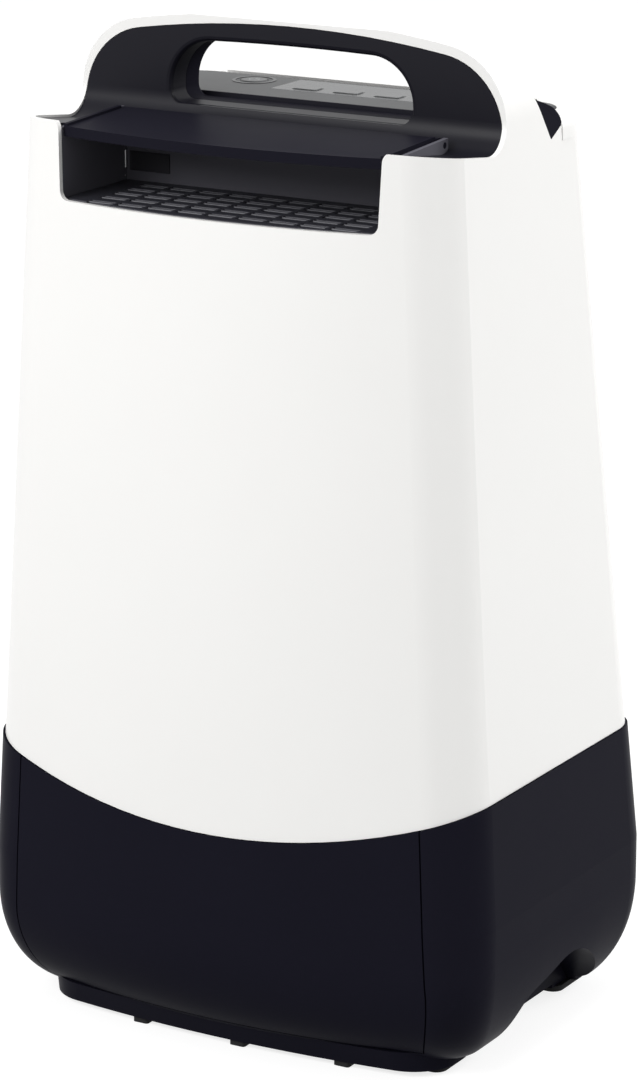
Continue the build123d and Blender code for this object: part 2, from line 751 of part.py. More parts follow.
with BuildPart() as outlet_grille:
    add(cover_form(cover_wall + fit_gap + duct_wall + fit_gap, rim_drop))
    with Locations((0, duct_back - fit_gap - reach / 2, grille_top - grille_thickness / 2)):
        Box(2 * (duct_half - fit_gap), reach, grille_thickness, mode=Mode.INTERSECT)
    slot_middle_y = duct_back - 11 - slot_pitch_y * (slot_rows - 1) / 2
    with Locations((0, slot_middle_y, grille_top - grille_thickness / 2)):
        with GridLocations(slot_pitch_x, slot_pitch_y, slot_columns, slot_rows):
            Box(slot_length, slot_width, 3 * grille_thickness, mode=Mode.SUBTRACT)
    # one slanted vane in every row of slots
    with BuildPart(mode=Mode.PRIVATE) as vane:
        for row in range(slot_rows):
            y = slot_middle_y + (row - (slot_rows - 1) / 2) * slot_pitch_y
            with Locations(Location((0, y, grille_top - grille_thickness / 2), (slot_slant, 0, 0))):
                Box(slot_pitch_x * slot_columns, 1.0, 3.2)
        with Locations((0, slot_middle_y, grille_top - grille_thickness / 2)):
            Box(reach, reach, grille_thickness, mode=Mode.INTERSECT)
    add(vane.part)
outlet_grille.part.label = "outlet_grille"
export_step(outlet_grille.part, "parts/outlet_grille.step")


def louver_plan(inset):
    """Plan of the louver: straight ends, and a front that follows the bowed case inside it by inset."""
    half = duct_half - louver_end_gap
    front = case_front(louver_pivot_z) + inset
    fall = bow_at(half, louver_pivot_z)
    with BuildSketch(Plane.XY.offset(louver_pivot_z - 30)) as plan:
        with BuildLine():
            ThreePointArc((-half, front + fall), (0, front), (half, front + fall))
            Polyline((half, front + fall), (half, louver_pivot_y), (-half, louver_pivot_y), (-half, front + fall))
        make_face()
    return plan.sketch


with BuildPart() as louver:
    half = duct_half - louver_end_gap
    edge = case_front(louver_pivot_z) + louver_inset
    top_rear = louver_pivot_z + louver_barrel
    top_front = top_rear - 2.2
    add(louver_plan(louver_inset))
    extrude(amount=60)
    with BuildSketch(Plane.YZ):
        with BuildLine():
            Polyline(
                (louver_pivot_y, top_rear), (edge, top_front), (edge, top_front - louver_thickness),
                (louver_pivot_y, top_rear - louver_thickness), (louver_pivot_y, top_rear),
            )
        make_face()
    extrude(amount=reach, both=True, mode=Mode.INTERSECT)
    with BuildPart(mode=Mode.PRIVATE) as lip:
        add(louver_plan(louver_inset))
        extrude(amount=60)
        add(louver_plan(louver_inset + louver_thickness))
        extrude(amount=60, mode=Mode.SUBTRACT)
        with Locations((0, front_y, top_front + 0.3 - louver_lip / 2)):
            Box(reach, 100, louver_lip, mode=Mode.INTERSECT)
    add(lip.part)
    # low border along each end, and ribs under the panel
    with BuildPart(mode=Mode.PRIVATE) as border:
        add(louver_plan(louver_inset))
        extrude(amount=60)
        with BuildSketch(Plane.YZ):
            with BuildLine():
                Polyline(
                    (louver_pivot_y - 4, top_rear + 1.2), (edge, top_front + 1.2), (edge, top_front - 5),
                    (louver_pivot_y - 4, top_rear - 5), (louver_pivot_y - 4, top_rear + 1.2),
                )
            make_face()
        extrude(amount=reach, both=True, mode=Mode.INTERSECT)
        Box(2 * (half - 2.2), reach, 2 * height, mode=Mode.SUBTRACT)
    add(border.part)
    with Locations(Location((0, louver_pivot_y, louver_pivot_z), (0, 90, 0))):
        Cylinder(louver_barrel, 2 * half)
        Cylinder(louver_pin, 2 * (duct_half + duct_wall))
louver.part.label = "louver"
export_step(louver.part, "parts/louver.step")

# ---------------------------------------------------------------- control deck behind the handle
deck_under = deck_z - deck_wall
key_flange = 1.5
deck_step = rim_start - 2 * fit_gap
board_y = (window_front + window_rear) / 2 - 6.5


def deck_body(inset, front, step, low, high):
    """The deck's outline between two heights: as wide as the case up to the rim, narrower behind."""
    with BuildPart() as wide:
        add(cover_form(cover_wall + fit_gap + inset, rim_drop))
        with Locations((0, (front + step) / 2, (low + high) / 2)):
            Box(reach, step - front, high - low, mode=Mode.INTERSECT)
    with BuildPart() as body:
        add(cover_form(rim_width + fit_gap + inset, rim_drop))
        with Locations((0, (front + rear_y) / 2, (low + high) / 2)):
            Box(reach, rear_y - front, high - low, mode=Mode.INTERSECT)
        add(wide.part)
    return body.part


key_spots = [(window_left + 18 + i * key_pitch, window_front + 8) for i in range(key_count)]

with BuildPart() as control_deck:
    add(deck_body(0, deck_front, deck_step, deck_z - deck_skirt, deck_z))
    add(
        deck_body(deck_wall, deck_front + deck_wall, deck_step - deck_wall, lining_foot, deck_under),
        mode=Mode.SUBTRACT,
    )
    window_x = (window_left + window_right) / 2
    window_y = (window_front + window_rear) / 2
    with Locations((window_x, window_y, deck_z)):
        Box(window_right - window_left, window_rear - window_front, 2 * window_thickness, mode=Mode.SUBTRACT)
    for x, y in key_spots:
        with Locations((x, y, deck_z)):
            Box(key_length + 2 * key_gap, key_width + 2 * key_gap, 20, mode=Mode.SUBTRACT)
    with Locations((power_x, power_y, deck_z)):
        Cylinder(power_radius + key_gap, 20, mode=Mode.SUBTRACT)
    # posts for the board and for the screws of the rear panel
    for x in (49 - width / 2, width / 2 - 49):
        for y in (board_y - 13, board_y + 14):
            with Locations((x, y, deck_under - 2.4)):
                Cylinder(2.5, 4.9)
    for x in (-screw_x, screw_x):
        with Locations((x, depth / 2 - 63, (deck_under + screw_high - 5) / 2)):
            Box(9, 9, deck_under - screw_high + 5.2)
        with Locations(Location((x, depth / 2 - 61.5, screw_high), (90, 0, 0))):
            Cylinder(screw_shank + 0.05, 20, mode=Mode.SUBTRACT)
control_deck.part.label = "control_deck"
export_step(control_deck.part, "parts/control_deck.step")

with BuildPart() as display_window:
    with Locations((window_x, window_y, deck_z - window_thickness / 2)):
        Box(window_right - window_left - 0.4, window_rear - window_front - 0.4, window_thickness)
    for x, y in key_spots:
        with Locations((x, y, deck_z)):
            Box(key_length + 2 * key_gap, key_width + 2 * key_gap, 20, mode=Mode.SUBTRACT)
display_window.part.label = "display_window"
export_step(display_window.part, "parts/display_window.step")

with BuildPart() as power_button:
    with Locations((power_x, power_y, deck_z + key_proud - key_height / 2)):
        Cylinder(power_radius, key_height)
    fillet(edges().group_by(Axis.Z)[-1], 0.8)
    with Locations((power_x, power_y, deck_under - seat_gap - key_flange / 2)):
        Cylinder(power_radius + 1.5, key_flange)
power_button.part.label = "power_button"
export_step(power_button.part, "parts/power_button.step")

key_number = 0
for x, y in key_spots:
    key_number += 1
    with BuildPart() as key:
        with Locations((x, y, deck_z + key_proud - key_height / 2)):
            Box(key_length, key_width, key_height)
        fillet(edges().filter_by(Axis.Z), 1.5)
        fillet(edges().group_by(Axis.Z)[-1], 0.6)
        with Locations((x, y, deck_under - seat_gap - key_flange / 2)):
            Box(key_length + 3, key_width + 3, key_flange)
    key.part.label = f"key_{key_number}"
    export_step(key.part, f"parts/key_{key_number}.step")

board_top = deck_under - 4.85
with BuildPart() as control_board:
    with Locations((0, board_y, board_top - board_thickness / 2)):
        Box(width - 90, 36, board_thickness)
    # a switch under every key, lit digits under the window
    for x, y in key_spots + [(power_x, power_y)]:
        with Locations((x, y, board_top + 0.7)):
            Box(6, 6, 1.4)
    with Locations((window_right - 16, window_y + 4, board_top + 1.7)):
        Box(24, 12, 3.4)
    with Locations((0, board_y, board_top - board_thickness - 3)):
        with GridLocations(36, 18, 4, 2):
            Box(12, 8, 6)
control_board.part.label = "control_board"
export_step(control_board.part, "parts/control_board.step")

# ---------------------------------------------------------------- rear panel and filter cover
panel_half = rear_panel_half - 0.4
panel_low = seam_side + seam_gap
hinge_y = case_rear(hinge_z) + hinge_barrel + 0.5
with BuildPart() as rear_cover:
    with BuildSketch(Plane.YZ):
        with BuildLine():
            Polyline(
                (case_rear(panel_low), panel_low), (case_rear(rear_top_z), rear_top_z),
                (case_rear(rear_top_z) - cover_wall, rear_top_z), (case_rear(panel_low) - cover_wall, panel_low),
                (case_rear(panel_low), panel_low),
            )
        make_face()
    extrude(amount=panel_half, both=True)
    # windows behind the filter, with bars between them
    bar = 3.0
    cell_wide = (2 * rear_window_half - 3 * bar) / 4
    cell_high = (rear_window_high - rear_window_low - 3 * bar) / 4
    with Locations((0, rear_y, (rear_window_low + rear_window_high) / 2)):
        with Locations(Location((0, 0, 0), (90, 0, 0))):
            with GridLocations(cell_wide + bar, cell_high + bar, 4, 4):
                Box(cell_wide, cell_high, reach / 2, mode=Mode.SUBTRACT)
    for side in (-1, 1):
        # hinge lugs with pins for the filter cover
        with Locations((side * (hinge_x + hinge_length / 2 + 2.3), hinge_y - 2, hinge_z)):
            Box(3.6, 4 + hinge_barrel, 2 * hinge_barrel)
        with Locations(Location((side * (hinge_x + 2.2), hinge_y, hinge_z), (0, 90, 0))):
            Cylinder(hinge_pin, hinge_length)
        for z in (screw_low, screw_high):
            with Locations(Location((side * screw_x, case_rear(z), z), (90, 0, 0))):
                Cylinder(screw_shank + 0.15, 12, mode=Mode.SUBTRACT)
                Cylinder(screw_head + 0.2, 2.6, mode=Mode.SUBTRACT)
rear_cover.part.label = "rear_cover"
export_step(rear_cover.part, "parts/rear_cover.step")

with BuildPart() as intake_grille:
    off = 0.4
    outer_low = depth / 2 + skin_step + 0.55
    outer_high = case_rear(intake_high) + intake_top_proud

    def intake_profile(inside):
        """Side view of the filter cover, or of its hollow when inside is the wall."""
        low = intake_low + inside
        high = intake_high - inside
        near = off - inside * 4
        with BuildSketch(Plane.YZ) as view:
            with BuildLine():
                Polyline(
                    (hinge_y, low), (outer_low - inside, low), (outer_high - inside, high),
                    (case_rear(intake_high) + near, high), (case_rear(hinge_z + 5) + near, hinge_z + 5),
                    (hinge_y, low),
                )
            make_face()
            if inside == 0:
                fillet(vertices().sort_by(Axis.X)[-1], 4)
        return view.sketch

    add(intake_profile(0))
    extrude(amount=intake_half, dir=(1, 0, 0), both=True)
    fillet(edges().filter_by(lambda e: abs(abs(e.center().X) - intake_half) < 0.01).group_by(Axis.Y)[-1], 4)
    add(intake_profile(intake_wall))
    extrude(amount=intake_half - intake_wall, dir=(1, 0, 0), both=True, mode=Mode.SUBTRACT)
    # rows of slots
    slot_span = (2 * (intake_half - 12)) / intake_columns
    row_pitch = (intake_high - intake_low - 40) / (intake_slots - 1)
    with Locations((0, outer_low, (intake_low + intake_high) / 2)):
        with Locations(Location((0, 0, 0), (90, 0, 0))):
            with GridLocations(slot_span, row_pitch, intake_columns, intake_slots):
                Box(slot_span - 6, intake_slot_height, 120, mode=Mode.SUBTRACT)
    for side in (-1, 1):
        with Locations(Location((side * hinge_x, hinge_y, hinge_z), (0, 90, 0))):
            Cylinder(hinge_barrel, hinge_length)
        with Locations((side * hinge_x, hinge_y + 2.5, intake_low + 1.2)):
            Box(hinge_length, 5, 2.4)
        with Locations(Location((side * hinge_x, hinge_y, hinge_z), (0, 90, 0))):
            Cylinder(hinge_pin + shaft_gap, hinge_length + 8, mode=Mode.SUBTRACT)
        with Locations((side * (hinge_x + hinge_length / 2 + 2.3), hinge_y, hinge_z)):
            Box(4.6, 2 * hinge_barrel + 1.6, 3 * hinge_barrel, mode=Mode.SUBTRACT)
intake_grille.part.label = "intake_grille"
export_step(intake_grille.part, "parts/intake_grille.step")

# filter mat in a thin frame, clipped inside the filter cover
with BuildPart() as air_filter:
    tilt = degrees(atan2(outer_low - outer_high, intake_high - intake_low))
    middle_y = (outer_low + outer_high) / 2 - intake_wall - filter_thickness / 2 - 0.5
    filter_high = (intake_high - intake_low) / cos(radians(tilt)) - 2 * intake_wall - 12
    with Locations(Location((0, middle_y, (intake_low + intake_high) / 2 + 1), (tilt, 0, 0))):
        Box(2 * (intake_half - intake_wall - 1), filter_thickness, filter_high)
        with Locations((0, -filter_thickness / 2, 0)):
            Box(
                2 * (intake_half - intake_wall - 1 - filter_rim), filter_thickness,
                filter_high - 2 * filter_rim, mode=Mode.SUBTRACT,
            )
air_filter.part.label = "air_filter"
export_step(air_filter.part, "parts/air_filter.step")

with BuildPart() as cover_screws:
    for side in (-1, 1):
        for z in (screw_low, screw_high):
            seat = case_rear(z) - 1.3
            with Locations(Location((side * screw_x, seat + 0.9, z), (90, 0, 0))):
                Cylinder(screw_head, 1.8)
                Box(1.0, 4.4, 1.9, mode=Mode.SUBTRACT)
            with Locations(Location((side * screw_x, seat - screw_length / 2 + 0.1, z), (90, 0, 0))):
                Cylinder(screw_shank, screw_length)
cover_screws.part.label = "cover_screws"
export_step(cover_screws.part, "parts/cover_screws.step")

# ---------------------------------------------------------------- inner frame
# Roof over the tank's bay, standing on the base's sills; everything inside the cover stands on it.
roof_top = roof_z + roof_thickness
with BuildPart() as bay_roof:
    add(base_form(base_wall + fit_gap, bay_floor, base_top))
    with Locations((0, (tank_front_y + rear_y) / 2, roof_z + roof_thickness / 2)):
        Box(reach, rear_y - tank_front_y - 8, roof_thickness, mode=Mode.INTERSECT)
    with Locations((0, spout_y, roof_z)):
        Cylinder(7.5, 20, mode=Mode.SUBTRACT)
    for x in (27 - width / 2, width / 2 - 27):
        for y in (-36, depth / 2 - 61.5):
            with Locations((x, y, (sill_top + roof_z) / 2)):
                Box(12, 10, roof_z - sill_top)
bay_roof.part.label = "bay_roof"
export_step(bay_roof.part, "parts/bay_roof.step")

# tray under the condenser, with a spout over the hole in the tank's lid
tray_half = condenser_half_width
with BuildPart() as drain_tray:
    with Locations((0, (tray_front + condenser_back + 3) / 2, (tray_low + tray_high) / 2)):
        Box(2 * tray_half, condenser_back + 3 - tray_front, tray_high - tray_low)
    with Locations((0, (tray_front + condenser_back + 3) / 2, tray_low + 2 + height / 2)):
        Box(2 * tray_half - 4, condenser_back - 1 - tray_front, height, mode=Mode.SUBTRACT)
    with Locations((0, spout_y, (tray_low + 1 + tank_top + tank_lid_height + 2.5) / 2)):
        Cylinder(6.5, tray_low + 1 - tank_top - tank_lid_height - 2.5)
    with Locations((0, spout_y, tray_low)):
        Cylinder(4.5, 60, mode=Mode.SUBTRACT)
    with Locations((0, (tray_front + condenser_back) / 2, (roof_top + tray_low) / 2)):
        with GridLocations(2 * tray_half - 20, 44, 2, 2):
            Box(10, 8, tray_low - roof_top)
    # bars that carry the condenser
    with Locations((0, (condenser_front + condenser_back) / 2, (tray_low + tray_high - 1) / 2 + 1)):
        with GridLocations(60, 1, 3, 1):
            Box(4, condenser_back - condenser_front, tray_high - 1 - tray_low)
drain_tray.part.label = "drain_tray"
export_step(drain_tray.part, "parts/drain_tray.step")

# condenser: two headers joined by upright tubes, the water runs down them into the tray
with BuildPart() as condenser:
    middle = (condenser_front + condenser_back) / 2
    thick = condenser_back - condenser_front
    for z in (tray_high + 6, condenser_high - 6):
        with Locations((0, middle, z)):
            Box(2 * condenser_half_width, thick, 12)
    with Locations((0, middle, (tray_high + condenser_high) / 2)):
        with GridLocations(2 * (condenser_half_width - 8) / (condenser_tubes - 1), 1, condenser_tubes, 1):
            Box(7, thick - 4, condenser_high - tray_high - 20)
condenser.part.label = "condenser"
export_step(condenser.part, "parts/condenser.step")

# ---------------------------------------------------------------- desiccant rotor and its drive
pitch_radius = gear_module * gear_teeth / 2
pinion_pitch = gear_module * pinion_teeth / 2
gear_centres = pitch_radius + pinion_pitch
pinion_x = gear_centres * cos(radians(pinion_angle))
pinion_z = rotor_z + gear_centres * sin(radians(pinion_angle))
gear_front = rotor_back - gear_width


def gear_outline(teeth, turn):
    """Straight-flanked teeth, thinned by the backlash and turned by turn degrees."""
    pitch = gear_module * teeth / 2
    tip = pitch + gear_module * 0.95
    root = pitch - gear_module * 1.2
    half = (pi * gear_module / 4 - gear_backlash / 2) / pitch
    points = []
    for i in range(teeth):
        middle_turn = 2 * pi * i / teeth + radians(turn)
        flanks = ((root, -1.45 * half), (tip, -0.5 * half), (tip, 0.5 * half), (root, 1.45 * half))
        for radius, swing in flanks:
            points.append((radius * cos(middle_turn + swing), radius * sin(middle_turn + swing)))
    with BuildSketch(Plane.XZ) as outline:
        with BuildLine():
            Polyline(*points, points[0])
        make_face()
    return outline.sketch


def disc(y_front, y_back, radius, x, z):
    """Round bar along Y."""
    with BuildPart() as bar:
        with Locations(Location((x, (y_front + y_back) / 2, z), (90, 0, 0))):
            Cylinder(radius, y_back - y_front)
    return bar.part


with BuildPart() as desiccant_rotor:
    add(disc(rotor_front, rotor_back, rotor_radius, 0, rotor_z))
    add(disc(rotor_front - 1, rotor_back + 1, hub_radius, 0, rotor_z), mode=Mode.SUBTRACT)
    for ring in range(1, 4):
        radius = hub_radius + ring * (rotor_radius - hub_radius) / 4
        for y in (rotor_front, rotor_back):
            add(disc(y - 0.6, y + 0.6, radius, 0, rotor_z) - disc(y - 1, y + 1, radius - 1.2, 0, rotor_z),
                mode=Mode.SUBTRACT)
desiccant_rotor.part.label = "desiccant_rotor"
export_step(desiccant_rotor.part, "parts/desiccant_rotor.step")

with BuildPart() as rotor_gear:
    with Locations((0, rotor_back, rotor_z)):
        add(gear_outline(gear_teeth, 0))
        extrude(amount=gear_width, dir=(0, -1, 0))
    add(disc(rotor_front, rotor_back + 1, rotor_radius, 0, rotor_z), mode=Mode.SUBTRACT)
    add(
        disc(rotor_front, gear_front, rotor_radius + 2.5, 0, rotor_z)
        - disc(rotor_front - 1, gear_front + 1, rotor_radius, 0, rotor_z)
    )
rotor_gear.part.label = "rotor_gear"
export_step(rotor_gear.part, "parts/rotor_gear.step")

with BuildPart() as rotor_hub:
    add(disc(rotor_front - 0.8, rotor_back + 0.8, hub_radius, 0, rotor_z))
    add(disc(rotor_front - 2, rotor_back + 2, axle_radius + shaft_gap, 0, rotor_z), mode=Mode.SUBTRACT)
rotor_hub.part.label = "rotor_hub"
export_step(rotor_hub.part, "parts/rotor_hub.step")

case_top = rotor_z + rotor_radius + 19
case_half = tray_half + 14
face_thickness = 3.0
case_bore = pitch_radius + gear_module + rotor_case_gap
face_back = rotor_case_front + face_thickness
with BuildPart() as rotor_case:
    with Locations((0, (rotor_case_front + rotor_case_back) / 2, (tray_high + 1 + case_top) / 2)):
        Box(2 * case_half, rotor_case_back - rotor_case_front, case_top - tray_high - 1)
    for side in (-1, 1):
        with Locations((side * (case_half + tray_half + 2) / 2, (rotor_case_front + rotor_case_back) / 2, 0)):
            with Locations((0, 0, (roof_top + tray_high + 1) / 2)):
                Box(case_half - tray_half - 2, rotor_case_back - rotor_case_front, tray_high + 1 - roof_top)
    add(disc(face_back, rotor_case_back + 1, case_bore, 0, rotor_z), mode=Mode.SUBTRACT)
    add(disc(face_back, rotor_case_back + 1, pinion_pitch + gear_module + 2, pinion_x, pinion_z), mode=Mode.SUBTRACT)
    add(disc(rotor_case_front - 1, face_back + 1, rotor_radius - 3, 0, rotor_z), mode=Mode.SUBTRACT)
    with Locations((0, rotor_case_front + face_thickness / 2, rotor_z)):
        Box(2 * rotor_radius, face_thickness, 8)
        Box(8, face_thickness, 2 * rotor_radius)
    add(disc(rotor_case_front, face_back, hub_radius + 3, 0, rotor_z))
    add(disc(rotor_case_front - 1, face_back + 1, axle_radius + shaft_gap, 0, rotor_z), mode=Mode.SUBTRACT)
    add(disc(rotor_case_front - 1, face_back + 1, pinion_shaft + 0.5, pinion_x, pinion_z), mode=Mode.SUBTRACT)
rotor_case.part.label = "rotor_case"
export_step(rotor_case.part, "parts/rotor_case.step")

# spider that closes the rotor's case at the back
retainer_front = rotor_back + 2.6
with BuildPart() as rotor_retainer:
    add(disc(retainer_front, rotor_case_back, case_bore - fit_gap, 0, rotor_z))
    add(disc(retainer_front - 1, rotor_case_back + 1, rotor_radius - 3, 0, rotor_z), mode=Mode.SUBTRACT)
    with Locations((0, (retainer_front + rotor_case_back) / 2, rotor_z)):
        Box(2 * rotor_radius, rotor_case_back - retainer_front, 8)
        Box(8, rotor_case_back - retainer_front, 2 * rotor_radius)
    add(disc(retainer_front, rotor_case_back, hub_radius + 3, 0, rotor_z))
    add(disc(retainer_front - 1, rotor_case_back + 1, axle_radius + shaft_gap, 0, rotor_z), mode=Mode.SUBTRACT)
rotor_retainer.part.label = "rotor_retainer"
export_step(rotor_retainer.part, "parts/rotor_retainer.step")

with BuildPart() as rotor_axle:
    add(disc(rotor_case_front - 1, rotor_case_back + 1.5, axle_radius, 0, rotor_z))
    add(disc(rotor_case_front - 3, rotor_case_front - 0.02, axle_radius + 2, 0, rotor_z))
rotor_axle.part.label = "rotor_axle"
export_step(rotor_axle.part, "parts/rotor_axle.step")

with BuildPart() as drive_pinion:
    with Locations((pinion_x, rotor_back, pinion_z)):
        add(gear_outline(pinion_teeth, 180 + pinion_angle + 180 / pinion_teeth
                         + (pinion_angle * gear_teeth / pinion_teeth) % (360 / pinion_teeth)))
        extrude(amount=gear_width, dir=(0, -1, 0))
    add(disc(rotor_case_front - 6, rotor_back + 0.5, pinion_shaft, pinion_x, pinion_z))
drive_pinion.part.label = "drive_pinion"
export_step(drive_pinion.part, "parts/drive_pinion.step")

rotor_motor_radius = 20.0
with BuildPart() as rotor_motor:
    add(disc(rotor_case_front - 19, rotor_case_front, rotor_motor_radius, pinion_x, pinion_z))
    add(disc(rotor_case_front - 8, rotor_case_front + 1, pinion_shaft + shaft_gap, pinion_x, pinion_z),
        mode=Mode.SUBTRACT)
    with Locations((pinion_x, rotor_case_front - 1.0, pinion_z)):
        Box(14, 2, 52)
    add(disc(rotor_case_front - 8, rotor_case_front + 1, pinion_shaft + shaft_gap, pinion_x, pinion_z),
        mode=Mode.SUBTRACT)
rotor_motor.part.label = "rotor_motor"
export_step(rotor_motor.part, "parts/rotor_motor.step")

# ---------------------------------------------------------------- heater over one sector of the rotor
heater_from, heater_to = 42.0, 98.0
heater_front = rotor_case_front - 16.0
heater_inner, heater_outer = 24.0, rotor_radius + 3
heater_middle = (heater_inner + heater_outer) / 2 - 1


def sector(y_front, y_back, inner, outer, start, end):
    """Slab along Y over part of a ring around the rotor's axis."""
    steps = 12
    angles = [radians(start + (end - start) * i / steps) for i in range(steps + 1)]
    points = [(outer * cos(a), rotor_z + outer * sin(a)) for a in angles]
    points += [(inner * cos(a), rotor_z + inner * sin(a)) for a in reversed(angles)]
    with BuildPart() as slab:
        with BuildSketch(Plane.XZ.offset(-y_front)):
            with BuildLine():
                Polyline(*points, points[0])
            make_face()
        extrude(amount=y_back - y_front, dir=(0, 1, 0))
    return slab.part


with BuildPart() as heater_box:
    add(sector(heater_front, rotor_case_front, heater_inner, heater_outer, heater_from, heater_to))
    add(
        sector(heater_front + 1.6, rotor_case_front + 1, heater_inner + 1.6, heater_outer - 1.6,
               heater_from + 2, heater_to - 2),
        mode=Mode.SUBTRACT,
    )
heater_box.part.label = "heater_box"
export_step(heater_box.part, "parts/heater_box.step")

with BuildPart() as heater_element:
    for row in range(4):
        radius = heater_inner + 12 + row * (heater_outer - heater_inner - 28) / 3
        add(sector(heater_front + 5, heater_front + 8, radius, radius + 3, heater_from + 5, heater_to - 5))
    for turn in (heater_from + 12, heater_to - 12):
        with Locations(Location((0, 0, rotor_z), (0, -turn, 0))):
            with Locations((heater_middle, heater_front + 6.5 + 2.4, 0)):
                Box(heater_outer - heater_inner - 10, 2, 3)
    for turn in (heater_from + 12, heater_to - 12):
        with Locations(Location((0, 0, rotor_z), (0, -turn, 0))):
            with Locations((heater_middle, (heater_front + 1.6 + heater_front + 10) / 2, 0)):
                Box(3, 8.4, 3)
heater_element.part.label = "heater_element"
export_step(heater_element.part, "parts/heater_element.step")

# ---------------------------------------------------------------- fans


def fan_wheel(y_plate, y_rim, radius, hub, blades, depth_share, x, z):
    """Squirrel-cage wheel: plate with hub at y_plate, ring at y_rim, leaning blades between."""
    way = 1 if y_rim > y_plate else -1
    inner = radius * depth_share
    with BuildPart() as wheel:
        add(disc(min(y_plate, y_plate + 2 * way), max(y_plate, y_plate + 2 * way), radius, x, z))
        add(disc(min(y_plate, y_plate + 14 * way), max(y_plate, y_plate + 14 * way), hub, x, z))
        ring = disc(min(y_rim, y_rim - 2 * way), max(y_rim, y_rim - 2 * way), radius, x, z)
        add(ring - disc(min(y_rim, y_rim - 2 * way) - 1, max(y_rim, y_rim - 2 * way) + 1, inner, x, z))
        with BuildSketch(Plane.XZ.offset(-y_plate)):
            with Locations((x, z)):
                with PolarLocations((radius + inner) / 2 - 0.3, blades):
                    with Locations(Location((0, 0, 0), 35)):
                        Rectangle((radius - inner) * 1.02, 1.4)
        extrude(amount=abs(y_rim - y_plate) - 1, dir=(0, way, 0))
    return wheel.part


with BuildPart() as main_fan:
    add(fan_wheel(fan_front, fan_back, fan_radius, fan_hub_radius, fan_blades, 0.84, 0, fan_z))
    add(disc(fan_front - 1, fan_front + 20, fan_shaft_radius, 0, fan_z), mode=Mode.SUBTRACT)
main_fan.part.label = "main_fan"
export_step(main_fan.part, "parts/main_fan.step")

motor_back = scroll_front
motor_front = motor_back - fan_motor_length
with BuildPart() as fan_shaft:
    add(disc(motor_front + 6, fan_front + 15, fan_shaft_radius, 0, fan_z))
fan_shaft.part.label = "fan_shaft"
export_step(fan_shaft.part, "parts/fan_shaft.step")

with BuildPart() as fan_motor:
    add(disc(motor_front, motor_back, fan_motor_radius, 0, fan_z))
    fillet(edges().group_by(Axis.Y)[0], 3)
    add(disc(motor_front + 5, motor_back + 1, fan_shaft_radius + shaft_gap, 0, fan_z), mode=Mode.SUBTRACT)
fan_motor.part.label = "fan_motor"
export_step(fan_motor.part, "parts/fan_motor.step")

tongue = 70.0
chute_top = duct_bottom


def scroll_outline(grow, y):
    """Spiral round the fan that opens upward into a chute as wide as the outlet."""
    points = []
    steps = 40
    for i in range(steps + 1):
        turn = tongue + (360 - tongue) * i / steps
        radius = scroll_start + scroll_growth * (turn - tongue) / 360 + grow
        points.append((radius * cos(radians(turn)), fan_z + radius * sin(radians(turn))))
    points.append((duct_half + grow, chute_top))
    points.append((-duct_half - grow, chute_top))
    points.append((-duct_half - grow, chute_top - 16))
    with BuildSketch(Plane.XZ.offset(-y)) as outline:
        with BuildLine():
            Polyline(*points, points[0])
        make_face()
    return outline.sketch


with BuildPart() as fan_scroll:
    add(scroll_outline(scroll_wall, scroll_front))
    extrude(amount=scroll_back - scroll_front, dir=(0, 1, 0))
    for x in (-44, 44):
        with Locations((x, (scroll_front + scroll_back) / 2, roof_top + 24)):
            Box(12, 30, 48)
    with BuildPart(mode=Mode.PRIVATE) as air:
        add(scroll_outline(0, scroll_front + scroll_wall))
        extrude(amount=scroll_back - scroll_front - 2 * scroll_wall, dir=(0, 1, 0))
    add(air.part, mode=Mode.SUBTRACT)
    add(disc(scroll_back - 5, scroll_back + 1, 0.8 * fan_radius, 0, fan_z), mode=Mode.SUBTRACT)
    add(disc(scroll_front - 1, scroll_front + 5, fan_shaft_radius + 1, 0, fan_z), mode=Mode.SUBTRACT)
fan_scroll.part.label = "fan_scroll"
export_step(fan_scroll.part, "parts/fan_scroll.step")

# small fan that circulates the hot air through heater and rotor
regen_case = regen_radius + 6
with BuildPart() as regen_fan:
    add(fan_wheel(regen_front + 3, regen_back - 3, regen_radius, 9, regen_blades, 0.78, regen_x, regen_z))
    add(disc(regen_front, regen_back, 2, regen_x, regen_z), mode=Mode.SUBTRACT)
regen_fan.part.label = "regen_fan"
export_step(regen_fan.part, "parts/regen_fan.step")

with BuildPart() as regen_fan_case:
    add(disc(regen_front, regen_back, regen_case, regen_x, regen_z))
    add(disc(regen_front + 1.6, regen_back - 1.6, regen_case - 1.6, regen_x, regen_z), mode=Mode.SUBTRACT)
    add(disc(regen_back - 3, regen_back + 1, 16, regen_x, regen_z), mode=Mode.SUBTRACT)
    add(disc(regen_front - 1, regen_front + 3, 2.6, regen_x, regen_z), mode=Mode.SUBTRACT)
    # bracket down to the case of the rotor
    with Locations((regen_x, (regen_back + rotor_case_front) / 2, case_top - 6)):
        with GridLocations(52, 1, 2, 1):
            Box(12, rotor_case_front - regen_back, 12)
regen_fan_case.part.label = "regen_fan_case"
export_step(regen_fan_case.part, "parts/regen_fan_case.step")

with BuildPart() as regen_motor:
    add(disc(regen_front - 13, regen_front, 13, regen_x, regen_z))
    add(disc(regen_front - 4, regen_front + 10, 2, regen_x, regen_z))
regen_motor.part.label = "regen_motor"
export_step(regen_motor.part, "parts/regen_motor.step")

